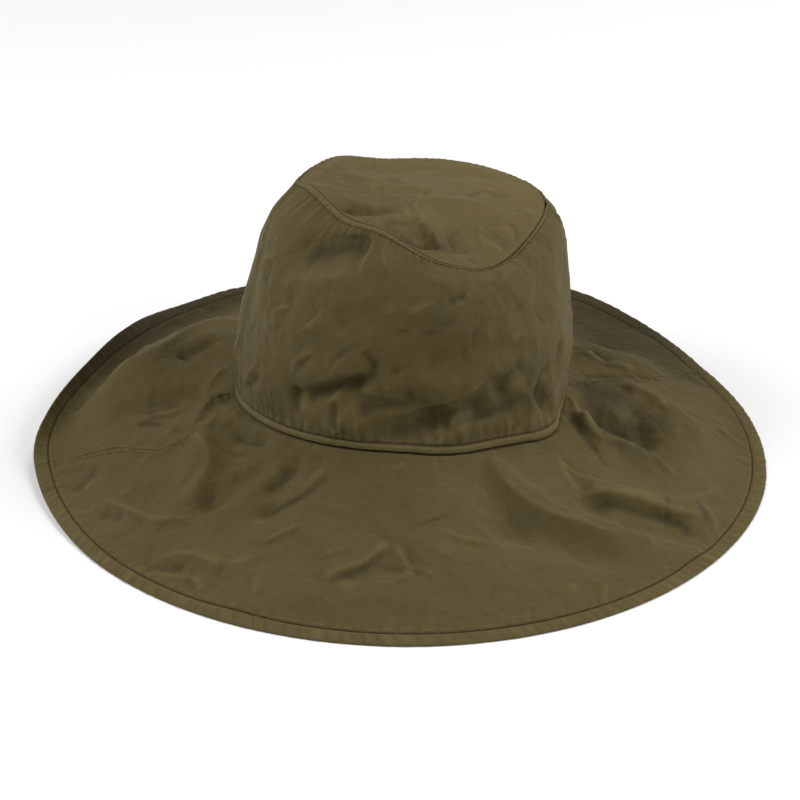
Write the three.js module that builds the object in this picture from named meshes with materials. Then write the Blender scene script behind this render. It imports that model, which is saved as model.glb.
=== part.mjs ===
// A soft cotton sun hat with a wide floppy brim, lying open side down on a flat surface.
//
// Millimetres, +Z up. The wearer's front looks along -Y, and the origin is under the middle of
// the hat, on the surface that it rests on. A "turn" is the angle round the hat in degrees: 0 is
// the front, 90 the +X side, 180 the back and 270 the -X side. The cloth is cut and sewn from
// five panels, two round the crown, one on its top and two round the brim, and the brim's edge is
// turned over into a thick hem. Every panel is a wall of even thickness under a formula surface.
import * as THREE from 'three';

// ---------------------------------------------------------------------------------------------
// Driving sizes
// ---------------------------------------------------------------------------------------------
const CLOTH = 1.6;             // two layers of cotton with their seam allowances
const HEM_WIDTH = 8.0;         // the brim's turned edge
const HEM_RISE = 0.5;          // the middle of the hem's upper face above the brim's
const HEM_EDGE_RISE = 0.2;     // the edges of that face above the brim's
const HEM_DROP = 2.1;          // the hem's lower face below the brim's upper face
const HEM_REST = 3.0;          // width of the hem that is pressed flat where it rests
const SEAM_GAP = 0.4;          // clear line between two sewn pieces
const HEM_GAP = 0.6;           // clear line between the brim's panels and the hem
const FLOOR_LIFT = 1.3;        // height of the rim's upper face where it rests on the surface
const REST_BAND = 0.5;         // a rim that would stand this little above its rest settles to it
const LOWEST_SLOPE = 0.13;     // least slope of the brim above the surface, inwards from the rim
const TIP_DOME = 9.0;          // rise of the middle of the top panel over its seam

const STEPS_ROUND = 96;        // columns of facets round the brim and the hem
const CROWN_STEPS_ROUND = 72;  // columns round the crown and its top
const BRIM_ROWS = 12;
const CROWN_ROWS = 9;
const TIP_ROWS = 4;
const SLOPE_STEPS = 32;        // steps of the sum that follows the brim's slope outwards

// ---------------------------------------------------------------------------------------------
// Shape tables
// ---------------------------------------------------------------------------------------------
const table = (columns, rows) =>
  rows.map((row) => Object.fromEntries(columns.map((name, k) => [name, row[k]])));

// Levels of the crown from the brim seam up to the top seam. Each is an oval of half_width by
// half_length about the point (middle_x, middle_y); tilt_y and tilt_x are its rise along +Y, +X.
const CROWN_LEVELS = table(
  ['height', 'z', 'half_width', 'half_length', 'middle_x', 'middle_y', 'tilt_y', 'tilt_x'], [
    [0.00, 38, 91.0, 91, 0.0, 0, -0.11, -0.02],
    [0.25, 66, 93.0, 92, 3.0, 3, -0.11, -0.02],
    [0.55, 99, 88.0, 90, 6.0, 6, -0.11, -0.02],
    [0.85, 128, 79.0, 84, 9.0, 11, -0.09, -0.03],
    [1.00, 139, 65.0, 75, 9.5, 11, -0.07, -0.05],
  ]);

// How the top seam strays from its oval as the soft crown slumps.
const TOP_SEAM = table(['turn', 'out', 'up'], [
  [0, -3, -2], [30, -3, -10], [60, 3, 2], [90, 8, 5], [120, 6, 4], [150, 4, 3],
  [180, 0, 3], [210, -4, 11], [240, -1, 8], [270, -10, 17], [300, -16, 9], [330, -12, 10],
]);
// How far the brim seam bags out, and hangs lower, at the right front.
const BASE_SEAM = table(['turn', 'out', 'up'], [
  [0, 4.5, -0.5], [10, 5.5, -1], [20, 4.5, -2], [30, 6.5, -3], [37, 9.5, -3.8], [45, 9, -3.5],
  [52, 4.5, -3], [60, 1.5, -1.5], [72, 0, 0], [160, 0, 0], [250, 0, 0], [335, 0, 0], [350, 1.5, 0],
]);

// Sections of the brim. length is the cloth from the crown seam to the rim, less what small folds
// take up; the rest is the droop of the cloth in degrees at the places of BRIM_PLACES. A negative
// droop rises: behind the -X side the brim dips into a valley and its edge curls up.
const BRIM_PLACES = [0, 0.3, 0.55, 0.7, 0.85, 1];
const BRIM_DROOPS = ['root', 'inner', 'middle', 'outer', 'rim', 'edge'];
const BRIM_SECTIONS = table(['turn', 'length', ...BRIM_DROOPS], [
  [0, 124, 24, 23, 23, 24, 23, 12],
  [30, 125, 25, 21, 21, 23, 22, 12],
  [60, 123, 25, 17, 19, 22, 22, 12],
  [90, 117, 31, 10, 19, 23, 20, 12],
  [105, 115, 27, 11, 21, 28, 14, -9],
  [120, 119, 23, 14, 22, 19, 4, -7],
  [135, 120, 20, 13, 19, 14, -4, -15],
  [150, 121, 18, 11, 17, 13, -3, -12],
  [165, 121, 17, 12, 19, 19, 5, -3],
  [180, 121, 16, 13, 19, 19, 5, 0],
  [195, 120, 15, 14, 15, 16, -4, -3],
  [210, 117, 10, 6, 22, 31, -5, -14],
  [225, 114, 7, -3, 19, 59, -5, -75],
  [240, 112, 7, -2, 2, 68, 8, -108],
  [255, 120, 13, 5, 8, 35, 40, -106],
  [270, 119, 21, 12, 17, 23, 23, -8],
  [300, 121, 26, 20, 22, 24, 22, 10],
  [330, 122, 27, 22, 23, 24, 23, 12],
]);

// The side seams, from the crown out to the rim and up its wall, as turns at each place.
const SIDE_SEAMS = {
  right: { brim: [79, 85, 90, 92, 96, 101, 104], crown: [84, 84, 84, 84, 84, 83, 82] },
  left: { brim: [265, 268.5, 279, 280, 273.5, 270, 266], crown: [265, 267.5, 270, 271, 269.5, 263, 253] },
};
const SEAM_PLACES = [0, 0.12, 0.27, 0.43, 0.6, 0.8, 1];

// Folds and dents, each a soft ridge between two points. from_turn, from_at, to_turn and to_at
// place it (at: 0 to 1 up the crown, out along the brim or out from the middle of the top), width
// is how far it spreads to either side, and height is its rise, or its depth when negative.
const FOLD_COLUMNS = ['from_turn', 'from_at', 'to_turn', 'to_at', 'width', 'height'];
const BRIM_FOLDS = table(FOLD_COLUMNS, [
  [264, 0.12, 284, 0.27, 8, 4.0],     // ridge running forwards from the left seam
  [287, 0.28, 299, 0.58, 9, 3.5],     // and turning down to the left front
  [294, 0.18, 303, 0.46, 9, -3.5],    // hollow beside it
  [284, 0.09, 300, 0.07, 6, -3.0],    // hollow beside the crown on the left front
  [301, 0.52, 307, 0.24, 9, -3.0],    // hollows and ridges that fan over the left front
  [308, 0.50, 312, 0.20, 7, 2.5],
  [314, 0.31, 316, 0.13, 6, -2.5],
  [329, 0.10, 320, 0.36, 8, 3.0],
  [316, 0.42, 324, 0.22, 8, -4.0],
  [322, 0.86, 344, 0.70, 12, 2.0],    // swell near the front rim
  [340, 0.68, 349, 0.58, 8, -4.5],    // wedge-shaped dent above it
  [8, 0.16, 12, 0.40, 12, -5.0],     // broad valley on the right front
  [13, 0.42, 26, 0.70, 12, -5.5],
  [16, 0.12, 25, 0.52, 8, 4.5],       // crest beside the valley
  [26, 0.56, 38, 0.88, 9, 2.5],
  [32, 0.45, 43, 0.86, 5, -4.5],      // long fold towards the right rim
  [36, 0.37, 49, 0.76, 6, 4.5],       // its crest
  [68, 0.16, 64, 0.34, 15, -9.0],     // deep hollow on the right
  [76, 0.34, 66, 0.40, 8, -4.5],
  [88, 0.36, 79, 0.55, 7, 3.5],       // swollen lip outside the hollow
  [68, 0.05, 57, 0.14, 5, 5.0],       // ridge that bounds the hollow
  [56, 0.15, 57, 0.42, 6, 5.0],
  [55, 0.08, 49, 0.18, 5, -1.5],      // pocket under that ridge
  [74, 0.64, 58, 0.68, 16, 3.0],      // swell outside the hollow
  [94, 0.18, 95, 0.46, 5, -3.0],      // creases that fan from the crown behind the right seam
  [110, 0.14, 102, 0.60, 8, 3.5],
  [116, 0.33, 104, 0.37, 5, -3.0],
  [126, 0.16, 118, 0.62, 10, -2.5],
  [150, 0.20, 158, 0.70, 12, 3.0],    // soft folds across the back
  [178, 0.25, 186, 0.65, 14, -3.0],
  [260, 0.48, 256, 0.18, 11, -5.0],   // hollow on the left, behind the seam
  [238, 0.35, 227, 0.30, 5, -3.5],    // short crease on the left back
  [238, 0.40, 222, 0.46, 9, -2.0],    // shallow dent inside the curled edge
]);
const CROWN_FOLDS = table(FOLD_COLUMNS, [
  [312, 0.22, 336, 0.36, 6, -5.0],    // crease low on the left front
  [333, 0.24, 352, 0.23, 7, -5.5],    // hollow below it
  [343, 0.12, 358, 0.17, 7, -6.5],    // long hollow low on the front
  [358, 0.17, 18, 0.27, 7, -6.5],
  [4, 0.10, 22, 0.14, 7, 2.0],        // swell between the hollows and the seam
  [326, 0.10, 336, 0.14, 7, 2.0],
  [42, 0.28, 37, 0.20, 4, -2.0],      // crescent crease
  [37, 0.20, 41, 0.12, 4, -2.0],
  [294, 0.84, 322, 0.93, 7, -6.0],    // dent under the top seam
  [270, 0.90, 285, 0.70, 12, 2.5],    // rounded shoulder on the left
  [0, 0.48, 30, 0.55, 16, -2.5],      // slack of the front wall
  [150, 0.30, 190, 0.40, 14, -4.0],   // slack of the back wall
  [205, 0.65, 235, 0.55, 12, -3.0],
  [120, 0.70, 95, 0.50, 12, -2.5],
]);
const TIP_FOLDS = table(FOLD_COLUMNS, [
  [335, 0.84, 352, 0.70, 7, -5.5],    // crease behind the front of the top seam
  [352, 0.70, 14, 0.70, 7, -5.5],
  [294, 0.82, 316, 0.52, 7, -3.5],    // hollow on the left
  [300, 0.30, 60, 0.30, 12, 2.5],     // ridge across the middle
  [230, 0.55, 236, 0.92, 14, 3.0],    // raised back corner
  [150, 0.60, 190, 0.70, 14, -3.0],
]);
const BRIM_FOLD_SCALE = { around: 150, along: 123 };   // mm to a radian, and to the whole width
const CROWN_FOLD_SCALE = { around: 88, along: 105 };
const TIP_FOLD_SCALE = { around: 45, along: 70 };

// ---------------------------------------------------------------------------------------------
// Curves through the tables
// ---------------------------------------------------------------------------------------------
const { degToRad, radToDeg, euclideanModulo, smoothstep } = THREE.MathUtils;

function hermite(t, start, end, startSlope, endSlope) {
  const t2 = t * t;
  const t3 = t2 * t;
  return (2 * t3 - 3 * t2 + 1) * start + (t3 - 2 * t2 + t) * startSlope
    + (3 * t2 - 2 * t3) * end + (t3 - t2) * endSlope;
}

// A smooth line through values at rising places.
function smoothLine(places, values, at) {
  const last = places.length - 1;
  let k = 0;
  while (k < last - 1 && at > places[k + 1]) k += 1;
  const slope = (i) => {
    const low = Math.max(i - 1, 0);
    const high = Math.min(i + 1, last);
    return (values[high] - values[low]) / (places[high] - places[low]);
  };
  const span = places[k + 1] - places[k];
  return hermite((at - places[k]) / span, values[k], values[k + 1],
    slope(k) * span, slope(k + 1) * span);
}

// A smooth closed line round the hat through one column of a table of turns.
function roundLine(rows, column, turn) {
  const count = rows.length;
  const here = euclideanModulo(turn, 360);
  let k = count - 1;
  while (rows[k].turn > here) k -= 1;
  const place = (i) => rows[euclideanModulo(i, count)].turn + 360 * Math.floor(i / count);
  const value = (i) => rows[euclideanModulo(i, count)][column];
  const slope = (i) => (value(i + 1) - value(i - 1)) / (place(i + 1) - place(i - 1));
  const span = place(k + 1) - place(k);
  return hermite((here - place(k)) / span, value(k), value(k + 1),
    slope(k) * span, slope(k + 1) * span);
}

function crownLevel(column, at) {
  return smoothLine(CROWN_LEVELS.map((row) => row.height),
    CROWN_LEVELS.map((row) => row[column]), at);
}

// The rise of all folds of a panel at one place.
function foldRise(folds, scale, turn, at) {
  let rise = 0;
  for (const fold of folds) {
    const swing = euclideanModulo(fold.to_turn - fold.from_turn + 180, 360) - 180;
    const offset = euclideanModulo(turn - fold.from_turn - swing / 2 + 180, 360) - 180;
    const here = new THREE.Vector2(degToRad(offset + swing / 2) * scale.around,
      (at - fold.from_at) * scale.along);
    const way = new THREE.Vector2(degToRad(swing) * scale.around,
      (fold.to_at - fold.from_at) * scale.along);
    const share = THREE.MathUtils.clamp(here.dot(way) / way.lengthSq(), 0, 1);
    const away = here.addScaledVector(way, -share).length();
    rise += fold.height * Math.exp(-((away / fold.width) ** 2));
  }
  return rise;
}

// ---------------------------------------------------------------------------------------------
// Surfaces: each gives the outer face of the cloth at a turn and a place from 0 to 1
// ---------------------------------------------------------------------------------------------
const outward = (turn) => new THREE.Vector3(Math.sin(degToRad(turn)), -Math.cos(degToRad(turn)), 0);

const TOP_SLUMP_POWER = 5;     // the slump of the top seam fades this fast down the wall
const BASE_BAG_POWER = 4;      // the bagging of the brim seam fades this fast up the wall
const FOLD_FADE = 0.08;        // folds die out over this share of the cloth next to a seam

function crownSurface(turn, at) {
  const out = outward(turn);
  const x = out.x * crownLevel('half_width', at);
  const y = out.y * crownLevel('half_length', at);
  const z = crownLevel('z', at) + crownLevel('tilt_y', at) * y + crownLevel('tilt_x', at) * x;
  const slump = at ** TOP_SLUMP_POWER;
  const bag = (1 - at) ** BASE_BAG_POWER;
  const push = foldRise(CROWN_FOLDS, CROWN_FOLD_SCALE, turn, at) * smoothstep(at, 0, FOLD_FADE)
    * smoothstep(1 - at, 0, FOLD_FADE) + slump * roundLine(TOP_SEAM, 'out', turn)
    + bag * roundLine(BASE_SEAM, 'out', turn);
  return new THREE.Vector3(
    crownLevel('middle_x', at) + x,
    crownLevel('middle_y', at) + y,
    z + slump * roundLine(TOP_SEAM, 'up', turn) + bag * roundLine(BASE_SEAM, 'up', turn) + FLOOR_LIFT,
  ).addScaledVector(out, push);
}

function tipSurface(turn, at) {
  const edge = crownSurface(turn, 1);
  const up = roundLine(TOP_SEAM, 'up', turn);
  const middle = new THREE.Vector3(crownLevel('middle_x', 1), crownLevel('middle_y', 1),
    crownLevel('z', 1) + FLOOR_LIFT);
  edge.z -= up;
  const point = middle.lerp(edge, at);
  point.z += up * at * at + TIP_DOME * (1 - at * at)
    + foldRise(TIP_FOLDS, TIP_FOLD_SCALE, turn, at) * smoothstep(1 - at, 0, FOLD_FADE);
  return point;
}

// The brim before its folds: out from the crown seam along the drooping cloth.
function brimRun(turn, at) {
  const length = roundLine(BRIM_SECTIONS, 'length', turn);
  const out = outward(turn);
  const point = crownSurface(turn, 0);
  point.z -= SEAM_GAP;
  if (at <= 0) return point.addScaledVector(out, at * length);   // margin under the crown's wall
  const droops = BRIM_DROOPS.map((name) => degToRad(roundLine(BRIM_SECTIONS, name, turn)));
  const step = (at * length) / SLOPE_STEPS;
  for (let k = 0; k < SLOPE_STEPS; k += 1) {
    const droop = smoothLine(BRIM_PLACES, droops, at * (k + 0.5) / SLOPE_STEPS);
    point.addScaledVector(out, Math.cos(droop) * step);
    point.z -= Math.sin(droop) * step;
  }
  point.addScaledVector(out, -at * roundLine(BASE_SEAM, 'out', turn));
  point.z -= at * roundLine(BASE_SEAM, 'up', turn);
  return point;
}

// How far the rim at a turn comes down as it settles on the surface.
const settled = new Map();
function rimSettling(turn) {
  if (!settled.has(turn)) {
    settled.set(turn, Math.min(brimRun(turn, 1).z - FLOOR_LIFT, REST_BAND));
  }
  return settled.get(turn);
}

const SETTLE_POWER = 3;        // settling of the rim fades this fast towards the crown

function brimSurface(turn, at) {
  const point = brimRun(turn, at);
  if (at <= 0) return point;
  point.z += foldRise(BRIM_FOLDS, BRIM_FOLD_SCALE, turn, at) * smoothstep(at, 0, FOLD_FADE)
    * smoothstep(1 - at, 0, FOLD_FADE) - rimSettling(turn) * at ** SETTLE_POWER;
  const lowest = FLOOR_LIFT + LOWEST_SLOPE * (1 - at) * BRIM_FOLD_SCALE.along;
  point.z = Math.max(point.z, lowest);
  return point;
}

// The direction out of a surface, which points up on the brim and away from the head elsewhere.
function outwardNormal(surface, turn, at) {
  const turnStep = 0.5;
  const atStep = 0.004;
  const round = surface(turn + turnStep, at).sub(surface(turn - turnStep, at));
  const along = surface(turn, Math.min(at + atStep, 1)).sub(surface(turn, at - atStep));
  const normal = round.cross(along).normalize();
  return surface === crownSurface ? normal : normal.multiplyScalar(Math.sign(normal.z) || 1);
}

// Crown wall and top meet on the line that halves the angle between them, and turn towards it
// over the last stretch of the cloth before the seam.
const WALL_TURNS_FROM = 0.9;
const TIP_TURNS_FROM = 0.8;
const TIP_SEAM_PLACE = 0.99;   // just inside the seam, where the top still has a slope
const TIP_MIDDLE_PLACE = 0.02; // just outside the middle, for the same reason

function topSeamNormal(turn) {
  return outwardNormal(crownSurface, turn, 1)
    .add(outwardNormal(tipSurface, turn, TIP_SEAM_PLACE)).normalize();
}

const crownNormal = (turn, at) => {
  const blend = smoothstep(at, WALL_TURNS_FROM, 1);
  return outwardNormal(crownSurface, turn, at).lerp(topSeamNormal(turn), blend).normalize();
};
const tipNormal = (turn, at) => {
  const blend = smoothstep(at, TIP_TURNS_FROM, 1);
  return outwardNormal(tipSurface, turn, Math.max(at, TIP_MIDDLE_PLACE))
    .lerp(topSeamNormal(turn), blend).normalize();
};
const brimNormal = (turn, at) => outwardNormal(brimSurface, turn, at);

// ---------------------------------------------------------------------------------------------
// Solids
// ---------------------------------------------------------------------------------------------
const evenSteps = (start, end, count) =>
  Array.from({ length: count + 1 }, (_, k) => start + ((end - start) * k) / count);

// A closed body from points and four-cornered or three-cornered faces, turned to face outwards.
function closedBody(points, faces) {
  const index = faces.flatMap(([a, b, c, d]) => (d === undefined ? [a, b, c] : [a, b, c, a, c, d]));
  let volume = 0;
  for (let k = 0; k < index.length; k += 3) {
    const [a, b, c] = [points[index[k]], points[index[k + 1]], points[index[k + 2]]];
    volume += a.dot(b.clone().cross(c));
  }
  if (volume < 0) index.reverse();
  const geometry = new THREE.BufferGeometry().setFromPoints(points);
  geometry.setIndex(index);
  geometry.computeVertexNormals();
  return geometry;
}

// A cloth wall between an outer grid of points and the same grid moved in by the cloth.
// outer and inner are lists of rows; a closed wall runs on from its last column to its first.
function clothWall(outer, inner, { closed = false, pole = null } = {}) {
  const columns = outer[0].length;
  const rows = outer.length;
  const points = [...outer.flat(), ...inner.flat()];
  const at = (layer, row, column) => layer * rows * columns + row * columns + (column % columns);
  const faces = [];
  const lastColumn = closed ? columns : columns - 1;
  for (let c = 0; c < lastColumn; c += 1) {
    for (let r = 0; r < rows - 1; r += 1) {
      faces.push([at(0, r, c), at(0, r, c + 1), at(0, r + 1, c + 1), at(0, r + 1, c)]);
      faces.push([at(1, r, c), at(1, r + 1, c), at(1, r + 1, c + 1), at(1, r, c + 1)]);
    }
    faces.push([at(0, 0, c), at(1, 0, c), at(1, 0, c + 1), at(0, 0, c + 1)]);
    if (pole) {
      const first = points.length;
      faces.push([at(0, rows - 1, c), at(0, rows - 1, c + 1), first]);
      faces.push([at(1, rows - 1, c + 1), at(1, rows - 1, c), first + 1]);
    } else {
      faces.push([at(0, rows - 1, c), at(0, rows - 1, c + 1), at(1, rows - 1, c + 1),
        at(1, rows - 1, c)]);
    }
  }
  if (!closed) {
    for (let r = 0; r < rows - 1; r += 1) {
      faces.push([at(0, r, 0), at(0, r + 1, 0), at(1, r + 1, 0), at(1, r, 0)]);
      faces.push([at(0, r, columns - 1), at(1, r, columns - 1), at(1, r + 1, columns - 1),
        at(0, r + 1, columns - 1)]);
    }
  }
  if (pole) points.push(...pole);
  return closedBody(points, faces);
}

const movedIn = (point, normal, depth) => point.clone().addScaledVector(normal, -depth);

// The turn of a side seam at a place, moved to one side by half a seam gap.
function seamTurn(side, part, surface, at, towards) {
  const turn = smoothLine(SEAM_PLACES, SIDE_SEAMS[side][part], Math.max(at, 0));
  const point = surface(turn, at);
  return turn + towards * radToDeg(SEAM_GAP / 2 / Math.hypot(point.x, point.y));
}

// A panel that runs round the hat from one side seam to the other, in rows at the given places.
function sidePanel(part, surface, normal, places, stepsRound, isFront) {
  const ends = (at) => (isFront
    ? [seamTurn('left', part, surface, at, 1) - 360, seamTurn('right', part, surface, at, -1)]
    : [seamTurn('right', part, surface, at, 1), seamTurn('left', part, surface, at, -1)]);
  const [rootStart, rootEnd] = ends(0);
  const columns = Math.round((stepsRound * (rootEnd - rootStart)) / 360);
  const turns = places.map((at) => evenSteps(...ends(at), columns));
  const outer = places.map((at, r) => turns[r].map((turn) => surface(turn, at)));
  const inner = places.map((at, r) =>
    turns[r].map((turn, c) => movedIn(outer[r][c], normal(turn, at), CLOTH)));
  return clothWall(outer, inner);
}

const hemPlace = (turn, fromRim) => 1 - fromRim / roundLine(BRIM_SECTIONS, 'length', turn);

function crownPanel(isFront) {
  const top = 1 - SEAM_GAP / CROWN_FOLD_SCALE.along;
  return sidePanel('crown', crownSurface, crownNormal, evenSteps(0, top, CROWN_ROWS),
    CROWN_STEPS_ROUND, isFront);
}

function brimPanel(isFront) {
  const margin = -(CLOTH + SEAM_GAP) / BRIM_FOLD_SCALE.along;
  // rows run out to the hem, whose place along the cloth changes a little round the brim
  const shares = [margin, ...evenSteps(0, 1, BRIM_ROWS)];
  const reach = (turn, share) =>
    (share <= 0 ? share : share * hemPlace(turn, HEM_WIDTH + HEM_GAP));
  const surface = (turn, share) => brimSurface(turn, reach(turn, share));
  const normal = (turn, share) => brimNormal(turn, reach(turn, share));
  return sidePanel('brim', surface, normal, shares, STEPS_ROUND, isFront);
}

function tipPanel() {
  const turns = evenSteps(0, 360, CROWN_STEPS_ROUND).slice(0, -1);
  const places = evenSteps(1, 0, TIP_ROWS).slice(0, -1);
  const outer = places.map((at) => turns.map((turn) => tipSurface(turn, at)));
  const inner = places.map((at, r) =>
    turns.map((turn, c) => movedIn(outer[r][c], tipNormal(turn, at), CLOTH)));
  const middle = tipSurface(0, 0);
  const pole = [middle, movedIn(middle, new THREE.Vector3(0, 0, 1), CLOTH)];
  return clothWall(outer, inner, { closed: true, pole });
}

// The hem is a closed ring of six-cornered sections, pressed flat where it touches the surface.
function hemRing() {
  const section = [
    { fromRim: HEM_WIDTH, above: HEM_EDGE_RISE },
    { fromRim: HEM_WIDTH / 2, above: HEM_RISE },
    { fromRim: 0, above: HEM_EDGE_RISE },
    { fromRim: 0, above: HEM_EDGE_RISE - HEM_DROP },
    { fromRim: HEM_REST, above: -HEM_DROP },
    { fromRim: HEM_WIDTH, above: HEM_EDGE_RISE - HEM_DROP },
  ];
  const turns = evenSteps(0, 360, STEPS_ROUND).slice(0, -1);
  const points = turns.flatMap((turn) => section.map(({ fromRim, above }) => {
    const at = hemPlace(turn, fromRim);
    const point = movedIn(brimSurface(turn, at), brimNormal(turn, at), -above);
    point.z = Math.max(point.z, 0);
    return point;
  }));
  const corners = section.length;
  const at = (k, c) => (k % turns.length) * corners + (c % corners);
  const faces = [];
  for (let k = 0; k < turns.length; k += 1) {
    for (let c = 0; c < corners; c += 1) {
      faces.push([at(k, c), at(k + 1, c), at(k + 1, c + 1), at(k, c + 1)]);
    }
  }
  return closedBody(points, faces);
}

// ---------------------------------------------------------------------------------------------
// The hat
// ---------------------------------------------------------------------------------------------
const COTTON = { roughness: 0.92, metalness: 0 };
const OLIVE = '#574b2e';
const OLIVE_TOP = '#5f5334';
const OLIVE_HEM = '#504529';

function piece(name, geometry, color) {
  const mesh = new THREE.Mesh(geometry, new THREE.MeshStandardMaterial({ color, ...COTTON }));
  mesh.name = name;
  return mesh;
}

const hat = new THREE.Group();
hat.add(
  piece('crown_tip', tipPanel(), OLIVE_TOP),
  piece('crown_front', crownPanel(true), OLIVE),
  piece('crown_back', crownPanel(false), OLIVE),
  piece('brim_front', brimPanel(true), OLIVE),
  piece('brim_back', brimPanel(false), OLIVE),
  piece('brim_hem', hemRing(), OLIVE_HEM),
);

// The origin stands under the middle of the hat's box.
const box = new THREE.Box3().setFromObject(hat);
const middle = box.getCenter(new THREE.Vector3());
hat.position.set(-middle.x, -middle.y, -box.min.z);

const group = new THREE.Group();
group.add(hat);
export default group;
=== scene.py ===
"""A soft cotton sun hat with a wide floppy brim, lying open side down on a flat surface.

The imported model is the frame: it gives every node's place and size. This script makes the cloth
over it: the sewn panels with their folds, creases and gathers, the puckered hem, the stitching,
the washed cotton, the light and the camera. The forms work in millimetres and the meshes in
metres. A "turn" is the angle round the hat in degrees: 0 is the front, 90 the +X side, 180 the
back and 270 the -X side. "at" runs from 0 to 1: up the crown's wall, out along the brim, or from
the middle of the top out to its seam.
"""
import logging
import math
from dataclasses import dataclass, field
from enum import Enum
from typing import ClassVar

import bpy
import numpy as np
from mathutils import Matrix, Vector


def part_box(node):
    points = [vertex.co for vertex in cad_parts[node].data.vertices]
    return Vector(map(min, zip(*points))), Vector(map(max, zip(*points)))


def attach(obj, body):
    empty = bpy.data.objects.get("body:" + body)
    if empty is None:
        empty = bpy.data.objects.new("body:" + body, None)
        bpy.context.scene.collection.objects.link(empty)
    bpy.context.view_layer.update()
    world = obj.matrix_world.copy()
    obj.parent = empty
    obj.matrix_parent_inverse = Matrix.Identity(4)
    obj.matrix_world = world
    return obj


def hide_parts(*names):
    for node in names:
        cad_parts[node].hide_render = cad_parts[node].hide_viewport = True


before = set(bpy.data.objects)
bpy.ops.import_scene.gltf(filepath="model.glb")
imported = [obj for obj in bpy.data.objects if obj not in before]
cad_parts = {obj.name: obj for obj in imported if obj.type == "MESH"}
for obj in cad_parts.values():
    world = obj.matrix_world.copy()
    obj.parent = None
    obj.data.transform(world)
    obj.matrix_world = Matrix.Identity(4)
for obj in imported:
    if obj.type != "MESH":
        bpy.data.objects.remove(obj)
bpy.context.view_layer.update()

LOG = logging.getLogger("sun_hat")
Array = np.ndarray
MM = 0.001

# ---------------------------------------------------------------------------------------------
# Driving sizes, millimetres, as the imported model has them
# ---------------------------------------------------------------------------------------------
HEM_WIDTH = 8.0          # the brim's turned edge
SEAM_GAP = 0.4           # step between two sewn pieces
LINE_GAP = 0.2           # from the crown's lip to the row of stitches above it
FLOOR_LIFT = 1.3         # height of the rim's upper face where it rests on the surface
REST_BAND = 0.5          # a rim that would stand this little above its rest settles to it
LOWEST_SLOPE = 0.13      # least slope of the brim above the surface, inwards from the rim
TIP_DOME = 9.0           # rise of the middle of the top panel over its seam
BASE_RADIUS = 91.0       # of the crown at the brim seam
WALL_HEIGHT = 105.0      # of the crown's cloth, along the wall
BRIM_CLOTH = 123.0       # of the brim's cloth, from the crown to the rim
TIP_RADIUS = 70.0        # of the top panel
AIM_HEIGHT = 28.0        # that the camera and the lights look at
CLOTH = 1.4              # thickness of the finished panels

SLOPE_STEPS = 32         # steps of the sum that follows the brim's slope outwards
TOP_SLUMP_POWER = 5      # the slump of the top seam fades this fast down the wall
BASE_BAG_POWER = 4       # the bagging of the brim seam fades this fast up the wall
SETTLE_POWER = 3         # settling of the rim fades this fast towards the crown
FOLD_FADE = 0.08         # folds die out over this share of the cloth next to a seam
CROWN_FOLD_SCALE = 88.0  # millimetres to a radian round the hat, where folds are laid out
TIP_FOLD_SCALE = 45.0
BRIM_FOLD_SCALE = 150.0


# ---------------------------------------------------------------------------------------------
# Rows of the shape tables
# ---------------------------------------------------------------------------------------------
@dataclass(frozen=True)
class Level:
    """One oval level of the crown, from the brim seam up to the top seam."""

    height: float
    z: float
    half_width: float
    half_length: float
    middle_x: float
    middle_y: float
    tilt_y: float
    tilt_x: float


@dataclass(frozen=True)
class SeamPlace:
    """How far a seam round the crown strays from its oval at one turn."""

    turn: float
    out: float
    up: float


@dataclass(frozen=True)
class BrimSection:
    """The brim's cloth at one turn: its length, then its droop in degrees outwards."""

    turn: float
    length: float
    root: float
    inner: float
    middle: float
    outer: float
    rim: float
    edge: float


@dataclass(frozen=True)
class Fold:
    """A soft ridge between two places on the cloth, or a hollow where its height is negative."""

    from_turn: float
    from_at: float
    to_turn: float
    to_at: float
    width: float
    height: float


@dataclass(frozen=True)
class Crease:
    """A fold with a drawn path: a ridge, or a groove where its height is negative.

    path holds (turn, at) places joined by a smooth curve. left and right are how far it spreads
    to either side of the path, seen along it from outside. sharp is 2 for a round ridge and 1
    for a knife edge. fade is the share of the path over which each end dies out.
    """

    path: tuple[tuple[float, float], ...]
    height: float
    left: float
    right: float
    sharp: float = 1.5
    fade: float = 0.3


class Side(Enum):
    """The two side seams, which split the crown's wall and the brim into front and back."""

    LEFT = "left"
    RIGHT = "right"


# A separate program fitted most of the numbers in CROWN_LEVELS, TOP_SEAM and BRIM_SECTIONS by
# least squares, and they were rounded. The imported model has the same.
CROWN_LEVELS = (
    Level(0.00, 38, 91.0, 91, 0.0, 0, -0.11, -0.02),
    Level(0.25, 66, 93.0, 92, 3.0, 3, -0.11, -0.02),
    Level(0.55, 99, 88.0, 90, 6.0, 6, -0.11, -0.02),
    Level(0.85, 128, 79.0, 84, 9.0, 11, -0.09, -0.03),
    Level(1.00, 139, 65.0, 75, 9.5, 11, -0.07, -0.05),
)
TOP_SEAM = tuple(SeamPlace(*row) for row in (
    (0, -3, -2), (30, -3, -10), (60, 3, 2), (90, 8, 5), (120, 6, 4), (150, 4, 3),
    (180, 0, 3), (210, -4, 11), (240, -1, 8), (270, -10, 17), (300, -16, 9), (330, -12, 10),
))
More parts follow.
